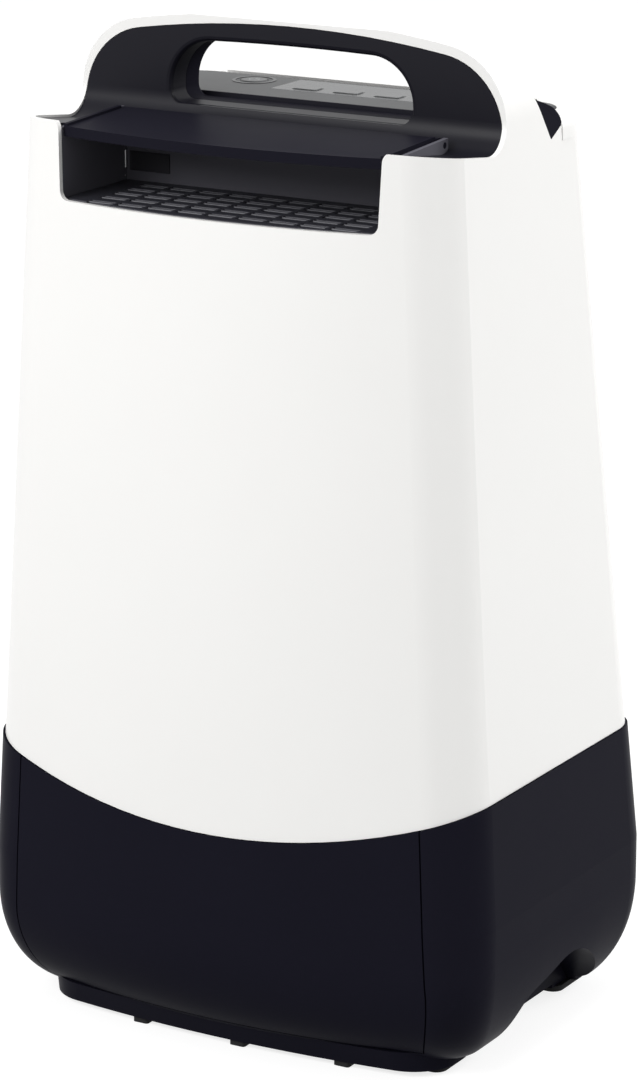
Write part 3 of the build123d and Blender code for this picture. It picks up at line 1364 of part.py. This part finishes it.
# ---------------------------------------------------------------- electronics
board_x = -case_half - 5.6
with BuildPart() as power_board:
    with Locations((board_x, 8, rotor_z - 36)):
        Box(1.6, 62, 96)
    for y in (17, 36):
        for z in (rotor_z - 76, rotor_z + 4):
            with Locations(Location(((board_x + 0.8 - case_half) / 2, y, z), (0, 90, 0))):
                Cylinder(2.5, -case_half - board_x - 0.8)
    for y, drop, size, tall in ((-10, 7, 18, 10), (12, 12, 12, 9), (-8, 40, 26, 10), (20, 48, 14, 7)):
        with Locations((board_x - 0.8 - tall / 2, y, rotor_z - drop)):
            Box(tall, size, size)
power_board.part.label = "power_board"
export_step(power_board.part, "parts/power_board.step")

sensor_z = height - 76
with BuildPart() as humidity_sensor:
    inner_rear = case_rear(sensor_z) - cover_wall
    with Locations(Location((60, inner_rear - 2.4, sensor_z), (rear_lean, 0, 0))):
        Box(14, 1.6, 18)
        with Locations((0, 1.4, 0)):
            Box(6, 1.6, 6)
humidity_sensor.part.label = "humidity_sensor"
export_step(humidity_sensor.part, "parts/humidity_sensor.step")

with BuildPart() as float_switch:
    with Locations((float_x, float_pivot_y - 24, roof_z - 1.6)):
        Box(16, 10, 3.2)
float_switch.part.label = "float_switch"
export_step(float_switch.part, "parts/float_switch.step")
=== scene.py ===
import bpy
import bmesh
from math import cos, pi, radians, sin
from mathutils import Matrix, Vector


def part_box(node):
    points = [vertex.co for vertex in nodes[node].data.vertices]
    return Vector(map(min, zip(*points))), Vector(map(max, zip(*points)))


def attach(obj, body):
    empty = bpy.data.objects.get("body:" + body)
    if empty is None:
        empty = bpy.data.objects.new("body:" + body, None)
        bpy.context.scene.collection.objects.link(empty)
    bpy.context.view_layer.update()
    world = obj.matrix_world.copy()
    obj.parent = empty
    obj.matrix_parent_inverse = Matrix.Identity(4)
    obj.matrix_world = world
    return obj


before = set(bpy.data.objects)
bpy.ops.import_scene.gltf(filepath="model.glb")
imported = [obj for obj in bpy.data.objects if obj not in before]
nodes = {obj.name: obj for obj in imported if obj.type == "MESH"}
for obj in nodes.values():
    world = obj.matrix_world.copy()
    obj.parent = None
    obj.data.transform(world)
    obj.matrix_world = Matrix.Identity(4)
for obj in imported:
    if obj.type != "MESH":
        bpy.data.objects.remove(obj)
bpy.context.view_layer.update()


# ---------------------------------------------------------------- base
# Deep black tub that everything stands on, injection moulded in one shot with its two skids.
# Satin ABS: a fine spark-eroded grain, a slightly blue black, and a faint haze from handling.

def moulding_grain():
    """Grain and haze that every moulded plastic piece of this appliance shares."""
    group = bpy.data.node_groups.new("moulding_grain", "ShaderNodeTree")
    face = group.interface
    face.new_socket("Colour", in_out="INPUT", socket_type="NodeSocketColor")
    for name, value in (
        ("Roughness", 0.4), ("Grain per metre", 1400.0), ("Grain depth", 0.1), ("Haze", 0.1),
    ):
        socket = face.new_socket(name, in_out="INPUT", socket_type="NodeSocketFloat")
        socket.default_value = value
    face.new_socket("Colour", in_out="OUTPUT", socket_type="NodeSocketColor")
    face.new_socket("Roughness", in_out="OUTPUT", socket_type="NodeSocketFloat")
    face.new_socket("Normal", in_out="OUTPUT", socket_type="NodeSocketVector")
    n, link = group.nodes, group.links.new
    given, out = n.new("NodeGroupInput"), n.new("NodeGroupOutput")
    place = n.new("ShaderNodeTexCoord")
    grain = n.new("ShaderNodeTexNoise")
    grain.inputs["Detail"].default_value = 2.0
    link(place.outputs["Object"], grain.inputs["Vector"])
    link(given.outputs["Grain per metre"], grain.inputs["Scale"])
    bump = n.new("ShaderNodeBump")
    bump.inputs["Distance"].default_value = 0.0002
    link(grain.outputs["Fac"], bump.inputs["Height"])
    link(given.outputs["Grain depth"], bump.inputs["Strength"])
    link(bump.outputs["Normal"], out.inputs["Normal"])
    cloud = n.new("ShaderNodeTexNoise")
    cloud.inputs["Scale"].default_value = 16.0
    cloud.inputs["Detail"].default_value = 4.0
    link(place.outputs["Object"], cloud.inputs["Vector"])
    centred = n.new("ShaderNodeMath")
    centred.operation = "SUBTRACT"
    centred.inputs[1].default_value = 0.5
    link(cloud.outputs["Fac"], centred.inputs[0])
    rougher = n.new("ShaderNodeMath")
    rougher.operation = "MULTIPLY_ADD"
    link(centred.outputs[0], rougher.inputs[0])
    link(given.outputs["Haze"], rougher.inputs[1])
    link(given.outputs["Roughness"], rougher.inputs[2])
    link(rougher.outputs[0], out.inputs["Roughness"])
    lighter = n.new("ShaderNodeMath")
    lighter.operation = "MULTIPLY_ADD"
    lighter.inputs[2].default_value = 1.0
    link(centred.outputs[0], lighter.inputs[0])
    link(given.outputs["Haze"], lighter.inputs[1])
    tint = n.new("ShaderNodeVectorMath")
    tint.operation = "SCALE"
    link(given.outputs["Colour"], tint.inputs[0])
    link(lighter.outputs[0], tint.inputs["Scale"])
    link(tint.outputs["Vector"], out.inputs["Colour"])
    return group


grain_group = moulding_grain()


def moulded(name, colour, roughness, grain=1400.0, depth=0.1, haze=0.1, coat=0.0, gloss=0.5):
    """Plastic straight from the mould, with the shared grain at this piece's own values."""
    mat = bpy.data.materials.new(name)
    mat.use_nodes = True
    n, link = mat.node_tree.nodes, mat.node_tree.links.new
    shader = n["Principled BSDF"]
    shader.inputs["Coat Weight"].default_value = coat
    shader.inputs["Coat Roughness"].default_value = 0.15
    shader.inputs["Specular IOR Level"].default_value = gloss
    surface = n.new("ShaderNodeGroup")
    surface.node_tree = grain_group
    surface.inputs["Colour"].default_value = (*colour, 1.0)
    surface.inputs["Roughness"].default_value = roughness
    surface.inputs["Grain per metre"].default_value = grain
    surface.inputs["Grain depth"].default_value = depth
    surface.inputs["Haze"].default_value = haze
    link(surface.outputs["Colour"], shader.inputs["Base Color"])
    link(surface.outputs["Roughness"], shader.inputs["Roughness"])
    link(surface.outputs["Normal"], shader.inputs["Normal"])
    return mat


def dress(mat, *names):
    """Gives CAD nodes this finish."""
    for name in names:
        nodes[name].data.materials.clear()
        nodes[name].data.materials.append(mat)


case_black = moulded(
    "case_black_satin", (0.0092, 0.0089, 0.0150), 0.38, depth=0.12, haze=0.12, gloss=0.012,
)
dress(case_black, "base")

# ---------------------------------------------------------------- pads under the skids
# Soft black rubber pads pushed into the skids, dull and a little dusty where they have stood.
# The bushing of the mains inlet is the same rubber.
pad_rubber = moulded(
    "pad_rubber", (0.012, 0.012, 0.013), 0.82, grain=2600.0, depth=0.35, haze=0.25, gloss=0.25,
)
dress(pad_rubber, "front_feet", "rear_feet", "cord_inlet")

# ---------------------------------------------------------------- tank
# The tank's front is a panel of the same satin black as the base, screwed to the bucket's ribs.
# Bucket and lid are smoke-clear styrene, so the water level can be seen when it is pulled out.
dress(case_black, "tank_front")


def clear_moulding(name, colour, roughness, share):
    """See-through plastic: part of the light passes, with slight flow streaks in its gloss."""
    mat = bpy.data.materials.new(name)
    mat.use_nodes = True
    n, link = mat.node_tree.nodes, mat.node_tree.links.new
    shader = n["Principled BSDF"]
    shader.inputs["Base Color"].default_value = (*colour, 1.0)
    shader.inputs["Transmission Weight"].default_value = share
    shader.inputs["IOR"].default_value = 1.5
    place = n.new("ShaderNodeTexCoord")
    stretch = n.new("ShaderNodeMapping")
    stretch.inputs["Scale"].default_value = (8.0, 8.0, 60.0)
    streak = n.new("ShaderNodeTexNoise")
    streak.inputs["Scale"].default_value = 3.0
    level = n.new("ShaderNodeMapRange")
    level.inputs["To Min"].default_value = roughness * 0.7
    level.inputs["To Max"].default_value = roughness * 1.4
    link(place.outputs["Object"], stretch.inputs["Vector"])
    link(stretch.outputs["Vector"], streak.inputs["Vector"])
    link(streak.outputs["Fac"], level.inputs["Value"])
    link(level.outputs["Result"], shader.inputs["Roughness"])
    return mat


bucket_clear = clear_moulding("bucket_smoke_clear", (0.62, 0.68, 0.72), 0.16, 0.75)
dress(bucket_clear, "tank", "tank_lid")
float_foam = moulded("float_foam", (0.78, 0.78, 0.74), 0.75, grain=700.0, depth=0.5, haze=0.1, gloss=0.3)
dress(float_foam, "float")

# ---------------------------------------------------------------- inner frame, tray and condenser
# Plain grey polypropylene mouldings that nobody sees: roof of the tank's bay, drain tray,
# the case of the rotor with its spider, and the cases of both fans. The condenser is frosted.
frame_grey = moulded("frame_polypropylene", (0.36, 0.38, 0.39), 0.5, grain=900.0, depth=0.15, haze=0.2)
dress(
    frame_grey, "bay_roof", "drain_tray", "rotor_case", "rotor_retainer", "fan_scroll", "regen_fan_case",
)
condenser_clear = clear_moulding("condenser_frosted", (0.8, 0.85, 0.86), 0.34, 0.5)
dress(condenser_clear, "condenser")


# ---------------------------------------------------------------- desiccant rotor and its drive
# A disc of corrugated ceramic paper loaded with zeolite, like fine honeycomb on both faces,
# in a white acetal ring gear that a small pinion turns.

def honeycomb_paper():
    """Pale cell walls round cells painted near black, painted shade for the depth of the open channels,
    on both faces of the disc.
    """
    mat = bpy.data.materials.new("zeolite_honeycomb")
    mat.use_nodes = True
    n, link = mat.node_tree.nodes, mat.node_tree.links.new
    shader = n["Principled BSDF"]
    shader.inputs["Roughness"].default_value = 0.92
    place = n.new("ShaderNodeTexCoord")
    cells = n.new("ShaderNodeTexVoronoi")
    cells.feature = "DISTANCE_TO_EDGE"
    cells.inputs["Scale"].default_value = 520.0
    cells.inputs["Randomness"].default_value = 0.15
    wall = n.new("ShaderNodeMapRange")
    wall.inputs["From Max"].default_value = 0.22
    # The pale stop is the paper's own colour; the dark stop is painted shade inside the open cells.
    cell_paper_and_shade = n.new("ShaderNodeValToRGB")
    cell_paper_and_shade.color_ramp.elements[0].color = (0.62, 0.58, 0.5, 1.0)
    cell_paper_and_shade.color_ramp.elements[1].color = (0.05, 0.045, 0.04, 1.0)
    bump = n.new("ShaderNodeBump")
    bump.invert = True
    bump.inputs["Strength"].default_value = 0.7
    bump.inputs["Distance"].default_value = 0.0006
    link(place.outputs["Object"], cells.inputs["Vector"])
    link(cells.outputs["Distance"], wall.inputs["Value"])
    link(wall.outputs["Result"], cell_paper_and_shade.inputs["Fac"])
    link(wall.outputs["Result"], bump.inputs["Height"])
    link(cell_paper_and_shade.outputs["Color"], shader.inputs["Base Color"])
    link(bump.outputs["Normal"], shader.inputs["Normal"])
    return mat


dress(honeycomb_paper(), "desiccant_rotor")
acetal_white = moulded("acetal_white", (0.74, 0.74, 0.7), 0.38, grain=1800.0, depth=0.06, haze=0.08)
dress(acetal_white, "rotor_gear", "rotor_hub", "drive_pinion")


def turned_steel(name, colour, roughness, along):
    """Bright steel with fine drawn or turned lines across the direction named by along."""
    mat = bpy.data.materials.new(name)
    mat.use_nodes = True
    n, link = mat.node_tree.nodes, mat.node_tree.links.new
    shader = n["Principled BSDF"]
    shader.inputs["Metallic"].default_value = 1.0
    shader.inputs["Base Color"].default_value = (*colour, 1.0)
    place = n.new("ShaderNodeTexCoord")
    stretch = n.new("ShaderNodeMapping")
    stretch.inputs["Scale"].default_value = along
    lines = n.new("ShaderNodeTexNoise")
    lines.inputs["Scale"].default_value = 30.0
    lines.inputs["Detail"].default_value = 6.0
    level = n.new("ShaderNodeMapRange")
    level.inputs["To Min"].default_value = roughness * 0.7
    level.inputs["To Max"].default_value = roughness * 1.5
    bump = n.new("ShaderNodeBump")
    bump.inputs["Strength"].default_value = 0.12
    bump.inputs["Distance"].default_value = 0.0001
    link(place.outputs["Object"], stretch.inputs["Vector"])
    link(stretch.outputs["Vector"], lines.inputs["Vector"])
    link(lines.outputs["Fac"], level.inputs["Value"])
    link(lines.outputs["Fac"], bump.inputs["Height"])
    link(level.outputs["Result"], shader.inputs["Roughness"])
    link(bump.outputs["Normal"], shader.inputs["Normal"])
    return mat


motor_steel = turned_steel("motor_can_steel", (0.56, 0.57, 0.58), 0.34, (3.0, 60.0, 3.0))
dress(
    motor_steel, "rotor_axle", "rotor_motor", "fan_shaft", "fan_motor", "regen_motor", "cover_screws",
)
heater_steel = turned_steel("heater_plate_steel", (0.34, 0.33, 0.32), 0.45, (2.0, 2.0, 40.0))
dress(heater_steel, "heater_box", "heater_element")

# ---------------------------------------------------------------- fans
# Squirrel-cage wheels moulded in black polypropylene with many leaning blades.
fan_black = moulded("fan_black", (0.02, 0.021, 0.023), 0.48, grain=1000.0, depth=0.1, haze=0.15)
dress(fan_black, "main_fan", "regen_fan", "float_switch")


# ---------------------------------------------------------------- circuit boards
# Green solder-masked boards with square-cornered copper runs just showing through.

def board_green():
    """Solder mask over a grid of copper runs."""
    mat = bpy.data.materials.new("board_solder_mask")
    mat.use_nodes = True
    n, link = mat.node_tree.nodes, mat.node_tree.links.new
    shader = n["Principled BSDF"]
    shader.inputs["Roughness"].default_value = 0.32
    place = n.new("ShaderNodeTexCoord")
    runs = n.new("ShaderNodeTexBrick")
    runs.inputs["Scale"].default_value = 90.0
    runs.inputs["Color1"].default_value = (0.012, 0.1, 0.045, 1.0)
    runs.inputs["Color2"].default_value = (0.016, 0.13, 0.055, 1.0)
    runs.inputs["Mortar"].default_value = (0.05, 0.26, 0.12, 1.0)
    runs.inputs["Mortar Size"].default_value = 0.06
    link(place.outputs["Object"], runs.inputs["Vector"])
    link(runs.outputs["Color"], shader.inputs["Base Color"])
    return mat


dress(board_green(), "control_board", "power_board", "humidity_sensor")

# ---------------------------------------------------------------- white cover
# Front, both sides and the arch of the loop in one white moulding, with the rear panel and the
# filter cover in the same smooth white ABS and its faint orange peel.
cover_white = moulded(
    "cover_white_gloss", (0.87, 0.865, 0.85), 0.3, grain=160.0, depth=0.03, haze=0.02,
    coat=0.06, gloss=0.25,
)
dress(cover_white, "front_cover", "rear_cover", "intake_grille")

# ---------------------------------------------------------------- air outlet
# Black duct behind the notch of the cover, with a floor grille of slots. The duct's black is lifted to a
# dark grey, painted light for the light that falls on its back wall. The vanes in the slots get a paler
# band just under their top, painted light on their lit faces. At the left a darker recessed plate is
# painted shade in the duct's corner, and a bright steel rod beside it is a painted highlight along that
# corner.
# Its colour sits well above the other blacks: painted light for the lit back wall of the duct.
duct_painted_light = moulded("duct_matt_painted_light", (0.105, 0.103, 0.122), 0.5, depth=0.15, haze=0.15, gloss=0.1)
dress(duct_painted_light, "outlet_duct")


def vane_painted_light(web, lit_band_colour, below, top):
    """Black grille: dark web on top, a pale band of painted light where light falls on the vanes, dark
    below it.
    """
    ramp_depth = 0.004
    mat = moulded("grille_black", web, 0.45, grain=1800.0, depth=0.15, haze=0.12, gloss=0.3)
    n, link = mat.node_tree.nodes, mat.node_tree.links.new
    place = n.new("ShaderNodeTexCoord")
    parts = n.new("ShaderNodeSeparateXYZ")
    link(place.outputs["Object"], parts.inputs[0])
    height = n.new("ShaderNodeMapRange")
    height.inputs["From Min"].default_value = top - ramp_depth
    height.inputs["From Max"].default_value = top
    link(parts.outputs["Z"], height.inputs["Value"])
    # The pale stops are painted light where light falls on the vanes just under the top.
    band = n.new("ShaderNodeValToRGB")
    stops = band.color_ramp.elements
    stops[0].position, stops[1].position = 0.845, 0.885
    stops[0].color, stops[1].color = (*below, 1.0), (*lit_band_colour, 1.0)
    stops.new(0.90).color = (*lit_band_colour, 1.0)
    stops.new(0.93).color = (*web, 1.0)
    link(height.outputs["Result"], band.inputs["Fac"])
    link(band.outputs["Color"], n["Principled BSDF"].inputs["Base Color"])
    return mat


# The middle colour is painted light on the vanes.
grille_black = vane_painted_light(
    (0.032, 0.032, 0.041), (0.19, 0.19, 0.21), (0.03, 0.03, 0.037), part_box("outlet_grille")[1].z,
)
dress(grille_black, "outlet_grille")


def settle(bm, name, mat, body):
    """Turns a finished bmesh into a piece of the assembly."""
    weld = 0.000005
    bmesh.ops.remove_doubles(bm, verts=bm.verts, dist=weld)
    bmesh.ops.recalc_face_normals(bm, faces=bm.faces)
    mesh = bpy.data.meshes.new(name)
    bm.to_mesh(mesh)
    bm.free()
    mesh.materials.append(mat)
    piece = bpy.data.objects.new(name, mesh)
    bpy.context.scene.collection.objects.link(piece)
    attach(piece, body)


# Recessed plate darker than the duct wall: painted shade in the duct's corner.
port_painted_shade = moulded("port_black_painted_shade", (0.035, 0.034, 0.040), 0.6, depth=0.1, haze=0.1, gloss=0.1)
port_left, port_right, port_low, port_high = -0.0900, -0.0662, 0.4380, 0.4480
port_thickness, port_rim, port_recess = 0.0012, 0.0008, 0.0004
wall_y = -0.0360
bm = bmesh.new()
block = bmesh.ops.create_cube(bm, size=1.0)["verts"]
bmesh.ops.scale(bm, vec=(port_right - port_left, port_thickness, port_high - port_low), verts=block)
bmesh.ops.translate(
    bm, vec=((port_left + port_right) / 2, wall_y, (port_low + port_high) / 2), verts=block,
)
front = min(bm.faces, key=lambda f: f.calc_center_median().y)
bmesh.ops.inset_region(bm, faces=[front], thickness=port_rim, depth=0.0)
bmesh.ops.translate(bm, vec=(0.0, port_recess, 0.0), verts=front.verts)
settle(bm, "port_plate_painted_shade", port_painted_shade, "case")

# Bright steel rod at the duct's corner: a painted highlight along that corner.
wire_radius, wire_length = 0.0008, 0.0088
bm = bmesh.new()
bmesh.ops.create_cone(
    bm, cap_ends=True, segments=16, radius1=wire_radius, radius2=wire_radius, depth=wire_length,
    matrix=Matrix.Translation((-0.0925, wall_y - 0.0009, 0.4437)),
)
bmesh.ops.create_uvsphere(
    bm, u_segments=16, v_segments=8, radius=wire_radius,
    matrix=Matrix.Translation((-0.0929, wall_y - 0.0016, 0.4352)),
)
settle(bm, "corner_highlight_rod", motor_steel, "case")

# ---------------------------------------------------------------- louver and handle linings
# The louver and the rear lining of the loop are satin black like the base. The front lining,
# which the hand polishes, has a little more sheen.
lining_black = moulded(
    "lining_black_satin", (0.0112, 0.0108, 0.0166), 0.42, depth=0.1, haze=0.12, gloss=0.006,
)
dress(lining_black, "louver", "handle_rear")
handle_black = moulded(
    "handle_black_sheen", (0.0085, 0.0082, 0.0126), 0.40, depth=0.1, haze=0.12, gloss=0.12,
)
dress(handle_black, "handle_front")

# ---------------------------------------------------------------- control deck
# Black moulded deck behind the loop, its level top laid with a fine grey film, and a lighter
# smoked window over the lamps. The four keys are cut from the same sheet as the window.

def filmed_top(film, body, edge_x, front_y, film_low):
    """Black moulding whose flat top carries a grey film that stops short of its edges."""
    mat = moulded("deck_grey_film", film, 0.42, grain=1800.0, depth=0.15, haze=0.12, gloss=0.15)
    n, link = mat.node_tree.nodes, mat.node_tree.links.new
    shader = n["Principled BSDF"]
    surface = next(node for node in n if node.type == "GROUP")
    place = n.new("ShaderNodeTexCoord")
    parts = n.new("ShaderNodeSeparateXYZ")
    link(place.outputs["Object"], parts.inputs[0])
    across = n.new("ShaderNodeMath")
    across.operation = "ABSOLUTE"
    link(parts.outputs["X"], across.inputs[0])
    inside = n.new("ShaderNodeMath")
    inside.operation = "LESS_THAN"
    inside.inputs[1].default_value = edge_x
    link(across.outputs[0], inside.inputs[0])
    behind = n.new("ShaderNodeMath")
    behind.operation = "GREATER_THAN"
    behind.inputs[1].default_value = front_y
    link(parts.outputs["Y"], behind.inputs[0])
    above = n.new("ShaderNodeMath")
    above.operation = "GREATER_THAN"
    above.inputs[1].default_value = film_low
    link(parts.outputs["Z"], above.inputs[0])
    both = n.new("ShaderNodeMath")
    both.operation = "MULTIPLY"
    link(inside.outputs[0], both.inputs[0])
    link(behind.outputs[0], both.inputs[1])
    share = n.new("ShaderNodeMath")
    share.operation = "MULTIPLY"
    link(both.outputs[0], share.inputs[0])
    link(above.outputs[0], share.inputs[1])
    blend = n.new("ShaderNodeMix")
    blend.data_type = "RGBA"
    blend.inputs["A"].default_value = (*body, 1.0)
    link(share.outputs[0], blend.inputs["Factor"])
    link(surface.outputs["Colour"], blend.inputs["B"])
    link(blend.outputs["Result"], shader.inputs["Base Color"])
    return mat


deck_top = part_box("control_deck")[1].z
film_half, film_front, film_thickness = 0.108, 0.0012, 0.0004
deck_grey = filmed_top(
    (0.062, 0.064, 0.066), (0.0110, 0.0107, 0.0168), film_half, film_front, deck_top - film_thickness,
)
dress(deck_grey, "control_deck")
window_grey = moulded(
    "window_grey_gloss", (0.076, 0.078, 0.081), 0.26, grain=500.0, depth=0.02, haze=0.05,
    coat=0.05, gloss=0.2,
)
dress(window_grey, "display_window", "key_1", "key_2", "key_3", "key_4")
button_grey = moulded("button_grey", (0.06, 0.062, 0.064), 0.38, grain=2200.0, depth=0.12, haze=0.1)
dress(button_grey, "power_button")


def flat_ring(bm, middle, inner, outer, low, high, start=0.0, turn=2 * pi, steps=48):
    """Ring or part of a ring of square section, spun from its section round a standing axis."""
    place = Vector(middle)
    section = [place + Vector((r * sin(start), r * cos(start), z)) for r, z in
               ((inner, low), (outer, low), (outer, high), (inner, high))]
    face = bm.faces.new([bm.verts.new(v) for v in section])
    whole = abs(turn - 2 * pi) < 0.001
    bmesh.ops.spin(
        bm, geom=[face, *face.edges, *face.verts], cent=place, axis=(0.0, 0.0, -1.0),
        angle=turn, steps=steps, use_merge=whole,
    )
    if whole:
        bmesh.ops.delete(bm, geom=[face], context="FACES_ONLY")


# Dark moulded ring round the power button, and the usual ring and bar printed on its cap.
button_low, button_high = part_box("power_button")
button_x = (button_low.x + button_high.x) / 2
button_y = (button_low.y + button_high.y) / 2
ring_dark = moulded("button_ring_black", (0.012, 0.012, 0.015), 0.3, depth=0.08, haze=0.1, gloss=0.3)
bm = bmesh.new()
ring_inner, ring_outer = 0.0098, 0.0116
flat_ring(bm, (button_x, button_y, deck_top), ring_inner, ring_outer, -0.0002, 0.00025)
settle(bm, "button_ring", ring_dark, "case")

print_grey = moulded("symbol_print", (0.35, 0.36, 0.37), 0.5, grain=3000.0, depth=0.05, haze=0.1)
bm = bmesh.new()
symbol_inner, symbol_outer, bar_length, gap_degrees = 0.0023, 0.0029, 0.0026, 76
flat_ring(
    bm, (button_x, button_y, button_high.z), symbol_inner, symbol_outer, -0.00005, 0.00006,
    start=radians(gap_degrees / 2), turn=radians(360 - gap_degrees), steps=32,
)
bar = bmesh.ops.create_cube(bm, size=1.0)["verts"]
bmesh.ops.scale(bm, vec=(0.0006, bar_length, 0.0001), verts=bar)
bmesh.ops.translate(bm, vec=(button_x, button_y + bar_length, button_high.z), verts=bar)
settle(bm, "power_symbol", print_grey, "power_button")


# ---------------------------------------------------------------- cheeks in the notches beside the deck
# Thin black cheek on each side that closes the notch between the loop and the rim of the case.
# Cut from sheet, its free edge rounded over, glued behind the loop and the end of the rim.

def notch_cheek(side):
    """One cheek, on the side whose sign is given."""
    thickness, rounding = 0.003, 0.0034
    bm = bmesh.new()
    corners = [
        (0.1208, -0.0022, 0.4876), (0.1217, 0.0085, 0.4843), (0.1222, 0.0203, 0.4799),
        (0.1225, 0.0280, 0.4739), (0.1227, 0.0288, 0.4694), (0.1231, 0.0163, 0.4628),
        (0.1230, 0.0146, 0.4642),
    ]
    outline = [bm.verts.new((side * x, y, z)) for x, y, z in corners]
    bm.faces.new(outline)
    bmesh.ops.bevel(
        bm, geom=outline[1:4], offset=rounding, affect="VERTICES", segments=5, profile=0.5,
        material=-1,
    )
    grown = bmesh.ops.extrude_face_region(bm, geom=list(bm.faces))
    inner = [v for v in grown["geom"] if isinstance(v, bmesh.types.BMVert)]
    bmesh.ops.translate(bm, vec=(-side * thickness, 0.0, 0.0), verts=inner)
    name = "notch_cheek_right" if side > 0 else "notch_cheek_left"
    settle(bm, name, lining_black, "case")


notch_cheek(1)
notch_cheek(-1)

# ---------------------------------------------------------------- filter behind the rear cover
# Fine black nylon net over a thin frame, welded on.

def filter_net():
    """Square net of dark threads."""
    mat = bpy.data.materials.new("filter_net")
    mat.use_nodes = True
    n, link = mat.node_tree.nodes, mat.node_tree.links.new
    shader = n["Principled BSDF"]
    shader.inputs["Roughness"].default_value = 0.85
    place = n.new("ShaderNodeTexCoord")
    threads = n.new("ShaderNodeTexBrick")
    threads.offset = 0.0
    threads.inputs["Scale"].default_value = 420.0
    threads.inputs["Color1"].default_value = (0.004, 0.004, 0.004, 1.0)
    threads.inputs["Color2"].default_value = (0.005, 0.005, 0.005, 1.0)
    threads.inputs["Mortar"].default_value = (0.05, 0.052, 0.056, 1.0)
    threads.inputs["Mortar Size"].default_value = 0.09
    threads.inputs["Row Height"].default_value = 0.5
    turn = n.new("ShaderNodeMapping")
    turn.inputs["Rotation"].default_value = (radians(90), 0.0, 0.0)
    bump = n.new("ShaderNodeBump")
    bump.inputs["Strength"].default_value = 0.5
    bump.inputs["Distance"].default_value = 0.0003
    link(place.outputs["Object"], turn.inputs["Vector"])
    link(turn.outputs["Vector"], threads.inputs["Vector"])
    link(threads.outputs["Color"], shader.inputs["Base Color"])
    link(threads.outputs["Fac"], bump.inputs["Height"])
    link(bump.outputs["Normal"], shader.inputs["Normal"])
    return mat


dress(filter_net(), "air_filter")


# ---------------------------------------------------------------- floor, light and camera
# A plain white floor that keeps a soft shadow, soft lamps in front, beside and above, and the
# camera standing to the right of the front and looking down a little. The white surroundings
# show to the camera, in gloss and through clear plastic, and light the object more softly.

def shown_rays():
    """1 for camera, glossy and transmission rays, 0 for the rest."""
    group = bpy.data.node_groups.new("shown_rays", "ShaderNodeTree")
    group.interface.new_socket("Shown", in_out="OUTPUT", socket_type="NodeSocketFloat")
    n, link = group.nodes, group.links.new
    path, out = n.new("ShaderNodeLightPath"), n.new("NodeGroupOutput")
    either = n.new("ShaderNodeMath")
    either.operation = "MAXIMUM"
    link(path.outputs["Is Camera Ray"], either.inputs[0])
    link(path.outputs["Is Glossy Ray"], either.inputs[1])
    shown = n.new("ShaderNodeMath")
    shown.operation = "MAXIMUM"
    link(either.outputs[0], shown.inputs[0])
    link(path.outputs["Is Transmission Ray"], shown.inputs[1])
    link(shown.outputs[0], out.inputs["Shown"])
    return group


shown_group = shown_rays()
bm = bmesh.new()
floor_half, floor_drop = 6.0, 0.0002
bmesh.ops.create_grid(bm, x_segments=1, y_segments=1, size=floor_half)
floor_mesh = bpy.data.meshes.new("floor")
bm.to_mesh(floor_mesh)
bm.free()
floor_mesh.transform(Matrix.Translation((0.0, 0.0, -floor_drop)))
floor = bpy.data.objects.new("floor", floor_mesh)
bpy.context.scene.collection.objects.link(floor)
paper = bpy.data.materials.new("floor_white")
paper.use_nodes = True
n, link = paper.node_tree.nodes, paper.node_tree.links.new
white = n["Principled BSDF"]
white.inputs["Base Color"].default_value = (0.36, 0.36, 0.36, 1.0)
white.inputs["Roughness"].default_value = 0.9
white.inputs["Specular IOR Level"].default_value = 0.0
white.inputs["Emission Color"].default_value = (1.0, 1.0, 1.0, 1.0)
seen = n.new("ShaderNodeGroup")
seen.node_tree = shown_group
lift = n.new("ShaderNodeMath")
lift.operation = "MULTIPLY"
lift.inputs[1].default_value = 0.78
link(seen.outputs["Shown"], lift.inputs[0])
link(lift.outputs[0], white.inputs["Emission Strength"])
floor_mesh.materials.append(paper)

world = bpy.data.worlds.new("studio")
bpy.context.scene.world = world
world.use_nodes = True
n, link = world.node_tree.nodes, world.node_tree.links.new
n.clear()
out = n.new("ShaderNodeOutputWorld")
soft = n.new("ShaderNodeBackground")
soft.inputs["Color"].default_value = (1.0, 1.0, 1.0, 1.0)
soft.inputs["Strength"].default_value = 0.6
plain = n.new("ShaderNodeBackground")
plain.inputs["Color"].default_value = (1.0, 1.0, 1.0, 1.0)
plain.inputs["Strength"].default_value = 1.0
seen = n.new("ShaderNodeGroup")
seen.node_tree = shown_group
mix = n.new("ShaderNodeMixShader")
link(seen.outputs["Shown"], mix.inputs["Fac"])
link(soft.outputs[0], mix.inputs[1])
link(plain.outputs[0], mix.inputs[2])
link(mix.outputs[0], out.inputs["Surface"])

aim = Vector((0.0, 0.0, 0.25))
for name, place, power, size in (
    ("key_lamp", (-0.65, -1.75, 1.5), 31.0, 1.2),
    ("side_lamp", (1.75, 0.75, 1.35), 25.0, 1.1),
    ("top_lamp", (0.1, 0.2, 2.3), 12.0, 1.2),
):
    light = bpy.data.lights.new(name, "AREA")
    light.energy = power
    light.shape = "DISK"
    light.size = size
    lamp = bpy.data.objects.new(name, light)
    lamp.location = place
    lamp.rotation_euler = (aim - Vector(place)).to_track_quat("-Z", "Y").to_euler()
    bpy.context.scene.collection.objects.link(lamp)

eye = bpy.data.cameras.new("camera")
eye.sensor_fit = "VERTICAL"
eye.sensor_height = 36.0
eye.lens = 143.6
eye.clip_end = 30.0
camera = bpy.data.objects.new("camera", eye)
camera.location = (1.0819, -1.8583, 0.8386)
camera.rotation_euler = (radians(90 - 15.4), 0.0, radians(30.2))
bpy.context.scene.collection.objects.link(camera)
bpy.context.scene.camera = camera
bpy.context.scene.view_settings.view_transform = "Standard"
